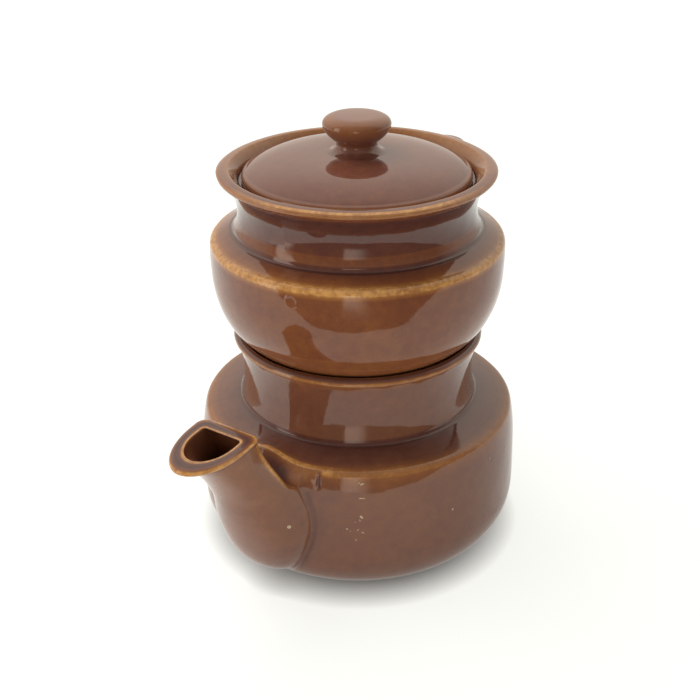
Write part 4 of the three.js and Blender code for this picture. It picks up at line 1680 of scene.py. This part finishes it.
@dataclass
class Studio:
    """The pale floor, the soft lights and the camera at the photograph's viewing angle."""

    view_azimuth: float = 124.0
    camera_distance: float = 494.43
    camera_height: float = 350.43
    pitch: float = 0.48084
    yaw: float = -0.007776
    roll: float = -0.008634
    focal: float = 1140.49
    image: float = 700.0
    sensor: float = 36.0
    floor_front: float = 260.0
    floor_reach: float = 3000.0
    floor_drop: float = 0.2
    floor_lift: float = 0.8
    floor_mirrored: float = 0.3
    floor_shade: str = "#a0a09e"
    floor_grain: float = 60.0
    contact_shadow: float = 14.0
    backdrop: str = "#fdfef9"
    mirrored_tint: str = "#fff2e4"
    # Light of the reflected room: where a step in height or facing starts and ends, and its two values.
    behind: tuple[float, float, float, float] = (0.15, 0.6, 1.0, 1.42)
    front: tuple[float, float, float, float] = (0.1, 0.95, 0.1, 0.4)
    between: tuple[float, float, float, float] = (-0.3, 0.35, 0.0, 1.0)
    plain_light: float = 0.5
    lights: tuple[Softbox, ...] = (
        Softbox("overhead_softbox", 356.0, 58.0, 1.5, 1.3, 1.0, 12.0),
        Softbox("window_left", 56.0, 8.0, 1.2, 0.34, 0.62, 2.4),
        Softbox("window_front", 127.0, -10.0, 0.9, 0.34, 0.36, 1.3),
    )
    glows: tuple[Glow, ...] = (
        Glow(-77.0, -62.0, -16.0, 26.0, 2.4, 4.0, 4.0, 8.0),
        Glow(-9.0, -3.0, -18.0, 4.0, 1.8, 4.0, 14.0, 10.0),
    )

    def build(self) -> None:
        """Builds the camera, the floor, the lights and the world."""
        self._camera()
        self._floor()
        for light in self.lights:
            light.build(Vector((0.0, 0.0, 0.1)))
        self._world()

    def _turn(self) -> Matrix:
        """Gives the turn that brings a view from the front round to the photograph's azimuth."""
        return Matrix.Rotation(math.radians(self.view_azimuth), 3, "Z")

    def _camera(self) -> None:
        """Places the camera: forward, right and up from pitch, yaw and roll, turned to the azimuth."""
        cos, sin, level = math.cos, math.sin, math.cos(self.pitch)
        forward = Vector((sin(self.yaw) * level, cos(self.yaw) * level, -sin(self.pitch)))
        right = Vector((cos(self.yaw), -sin(self.yaw), 0.0))
        up = right.cross(forward)
        across = cos(self.roll) * right + sin(self.roll) * up
        upright = -sin(self.roll) * right + cos(self.roll) * up
        axes = Matrix((across, upright, -forward)).transposed()
        place = Vector((0.0, -self.camera_distance, self.camera_height)) * MM
        data = bpy.data.cameras.new("photo_view")
        data.sensor_fit = "HORIZONTAL"
        data.sensor_width = self.sensor
        data.lens = self.sensor * self.focal / self.image
        data.clip_start, data.clip_end = 0.01, 50.0
        camera = placed("photo_view", data)
        camera.matrix_world = Matrix.Translation(self._turn() @ place) @ (self._turn() @ axes).to_4x4()
        bpy.context.scene.camera = camera

    def _floor(self) -> None:
        """Lays the pale floor, which ends a little in front of the pots as a sheet on a table does."""
        reach, front = self.floor_reach, -self.floor_front
        around = [(-reach, front, 0.0), (reach, front, 0.0), (reach, reach, 0.0), (-reach, reach, 0.0)]
        floor = sheet("floor", np.array(around) @ np.array(self._turn()).T, np.arange(4)[None, :])
        floor.location.z = -self.floor_drop * MM
        floor.data.materials.append(self._card())

    def _card(self) -> Finish:
        """Makes matt white card, which stays pale to the eye and darkens softly close to the pots.

        Returns:
            The new material.
        """
        material, tree, shader = blank("matt_white_card")
        noise = grains(add(tree, "TexCoord", out="Object"), self.floor_grain, 2.0, 0.5)
        grain = {"Fac": add(tree, "TexNoise", noise)}
        tint = add(tree, "ValToRGB", grain, stops=[(0.3, "#f4f4f0"), (0.7, "#f8f8f4")])
        camera, glossy = (add(tree, "LightPath", out=f"Is {ray} Ray") for ray in ("Camera", "Glossy"))
        shades = {"Factor": camera, "A": tint, "B": linear(self.floor_shade)}
        tree.links.new(add(tree, "Mix", shades, "Result", data_type="RGBA"), shader["Base Color"])
        shader["Roughness"].default_value = 0.9
        shader["Emission Color"].default_value = linear(self.backdrop)
        reach = {"Distance": self.contact_shadow * MM}
        open_sky = add(tree, "AmbientOcclusion", reach, "AO", samples=12)
        near_pots = add(tree, "Math", {0: camera, 1: open_sky}, operation="MULTIPLY")
        mirrored = add(tree, "Math", {0: glossy, 1: self.floor_mirrored}, operation="MULTIPLY")
        glow = {0: near_pots, 1: self.floor_lift, 2: mirrored}
        tree.links.new(add(tree, "Math", glow, operation="MULTIPLY_ADD"), shader["Emission Strength"])
        return material

    def _world(self) -> None:
        """Makes the surroundings: white to the camera, a plain grey light, and a room for reflections.

        The reflected room is a white backdrop behind the pots that dims upwards, a dark side in front where
        the viewer stands, and the soft window glows.
        """
        world = bpy.data.worlds.new("studio")
        bpy.context.scene.world = world
        world.use_nodes = True
        tree = world.node_tree
        background = tree.nodes["Background"].inputs
        kinds = ("Camera", "Glossy", "Transmission")
        camera, glossy, through = (add(tree, "LightPath", out=f"Is {ray} Ray") for ray in kinds)
        direction = add(tree, "TexCoord", out="Generated")
        height = add(tree, "SeparateXYZ", {0: direction}, "Z")
        facing = self._toward(tree, direction, 0.0)
        steps = ((height, *self.behind), (height, *self.front), (facing, *self.between))
        behind, front, share = (
            add(tree, "MapRange", ramp(*step), interpolation_type="SMOOTHSTEP") for step in steps
        )
        room = add(tree, "Mix", {"Factor": share, "A": behind, "B": front}, "Result")
        for glow in self.glows:
            patch = self._glow(tree, direction, height, glow)
            room = add(tree, "Math", {0: room, 1: patch}, operation="ADD")
        mirrored = add(tree, "Math", {0: glossy, 1: through}, operation="MAXIMUM")
        lit = add(tree, "Mix", {"Factor": mirrored, "A": self.plain_light, "B": room}, "Result")
        strength = add(tree, "Mix", {"Factor": camera, "A": lit, "B": 1.0}, "Result")
        tints = {"Factor": mirrored, "A": linear(self.backdrop), "B": linear(self.mirrored_tint)}
        tree.links.new(add(tree, "Mix", tints, "Result", data_type="RGBA"), background["Color"])
        tree.links.new(strength, background["Strength"])
        bpy.context.scene.view_settings.view_transform = "Standard"

    def _toward(self, tree: Tree, direction: Socket, degrees: float) -> Socket:
        """Adds the dot product of a ray's direction with a level bearing.

        Args:
            tree: the world's nodes.
            direction: the ray's direction.
            degrees: the bearing to the right of the viewer's own.

        Returns:
            The product, 1 where the ray points that way.
        """
        turn = math.radians(degrees)
        axis = self._turn() @ Vector((math.sin(turn), -math.cos(turn), 0.0))
        return add(tree, "VectorMath", {0: direction, 1: axis}, "Value", operation="DOT_PRODUCT")

    def _glow(self, tree: Tree, direction: Socket, height: Socket, glow: Glow) -> Socket:
        """Adds one glow: its strength times a smooth step at each of its four edges.

        Args:
            tree: the world's nodes.
            direction: the ray's direction.
            height: the direction's upward part.
            glow: the patch.

        Returns:
            The glow's light.
        """
        middle = 0.5 * (glow.left + glow.right)
        half = 0.5 * (glow.right - glow.left)
        across = self._toward(tree, direction, middle + 90.0)
        ahead = self._toward(tree, direction, middle)
        edges = (-half, half, glow.bottom, glow.top)
        left, right, bottom, top = (math.sin(math.radians(v)) for v in edges)
        softness = (glow.soft_left, glow.soft_right, glow.soft_level)
        soft_left, soft_right, level = (math.radians(v) for v in softness)
        steps = (
            (across, left - soft_left, left, 0.0, glow.strength),
            (across, right, right + soft_right, 1.0, 0.0),
            (height, bottom - level, bottom, 0.0, 1.0),
            (height, top, top + level, 1.0, 0.0),
            (ahead, 0.0, 0.1, 0.0, 1.0),
        )
        light, *factors = (
            add(tree, "MapRange", ramp(*step), interpolation_type="SMOOTHSTEP") for step in steps
        )
        for factor in factors:
            light = add(tree, "Math", {0: light, 1: factor}, operation="MULTIPLY")
        return light


def lower_pot() -> LowerPot:
    """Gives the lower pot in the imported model's sizes, with 0.15 mm left for the waves of the cast wall.

    Returns:
        The lower pot with its spout and handle.
    """
    pot = Pot(
        base=0.0,
        foot_radius=50.0,
        foot_height=0.0,
        bottom_spread=0.57,
        bottom_lift=0.0,
        bottom_climb=0.37,
        belly_radius=78.05,
        belly_height=27.0,
        shoulder_radius=75.4,
        shoulder_height=70.0,
        shoulder_rise=3.6,
        collar_radius=57.4,
        neck_radius=55.6,
        rim_radius=59.6,
        rim_height=108.0,
        lip_width=3.0,
        lip_fall=2.2,
        throat_radius=47.0,
        gallery_radius=52.2,
        gallery_depth=6.0,
        calm=1.0,
        wall_round=2.2,
    )
    handle = Strap(
        name="lower_strap_handle",
        reach=109.85,
        top=66.0,
        bottom=20.0,
        arch=8.0,
        droop=12.0,
        lean=10.0,
        start_radius=72.6,
        end_radius=74.3,
    )
    return LowerPot(pot=pot, spout=Spout(pot), handle=handle)


def upper_pot() -> UpperPot:
    """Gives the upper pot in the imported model's sizes.

    Returns:
        The upper pot with its handle.
    """
    pot = Pot(
        base=UPPER_POT_HEIGHT,
        foot_radius=51.0,
        foot_height=3.5,
        bottom_spread=0.46,
        bottom_lift=2.5,
        bottom_climb=0.45,
        belly_radius=68.4,
        belly_height=38.0,
        shoulder_radius=68.1,
        shoulder_height=52.3,
        shoulder_rise=3.9,
        collar_radius=57.2,
        neck_radius=55.1,
        rim_radius=63.5,
        rim_height=84.7,
        lip_width=5.3,
        lip_fall=1.3,
        throat_radius=48.0,
        gallery_radius=53.9,
        gallery_depth=6.3,
        edge_depth=0.06,
        drained_to=34.0,
        # A dark upper neck: painted shade under the overhanging lip.
        neck_depth_and_shade=0.84,
        shoulder_depth=0.45,
        bottom_depth=0.4,
    )
    handle = Strap(
        name="upper_strap_handle",
        reach=96.0,
        top=68.2,
        bottom=29.7,
        arch=17.0,
        droop=32.0,
        lean=29.0,
        start_radius=54.1,
        end_radius=64.0,
    )
    return UpperPot(pot=pot, handle=handle)


def blister_on(pot: Pot, degrees: float, height: float) -> tuple[float, float, float]:
    """Gives the place on a pot's widest wall at an angle from the spout and a height above its base."""
    turn = math.radians(degrees)
    return (pot.belly_radius * math.cos(turn), pot.belly_radius * math.sin(turn), pot.base + height)


def corners(box: tuple[Vector, Vector]) -> list[list[float]]:
    """Turns a box's two corners into plain lists of numbers."""
    return [[float(v) for v in corner] for corner in box]


def main() -> None:
    logging.basicConfig(level=logging.INFO, format="%(message)s")
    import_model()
    lower, upper = lower_pot(), upper_pot()
    clay = BareStoneware().build()
    brown = GlazedStoneware("brown_glazed_stoneware").build()
    blister = blister_on(upper.pot, 10.0, 45.6)
    # Redder and clearer on the upper pot, plum on the lid's dome and paler on its knob, as fired.
    deep = GlazedStoneware("deep_brown_glazed_stoneware", even="#7c4830", lean="#955c34", blister=blister)
    plum = GlazedStoneware("plum_glazed_stoneware", even="#744538", deep="#613a33")
    knob = GlazedStoneware("evenly_glazed_stoneware", even="#83513f")
    lower.build(brown, clay)
    WallChips(lower.pot, lower.spout).build(clay)
    upper.build(deep.build())
    Lid().build(plum.build(), knob.build())
    Studio().build()


if __name__ == "__main__":
    main()
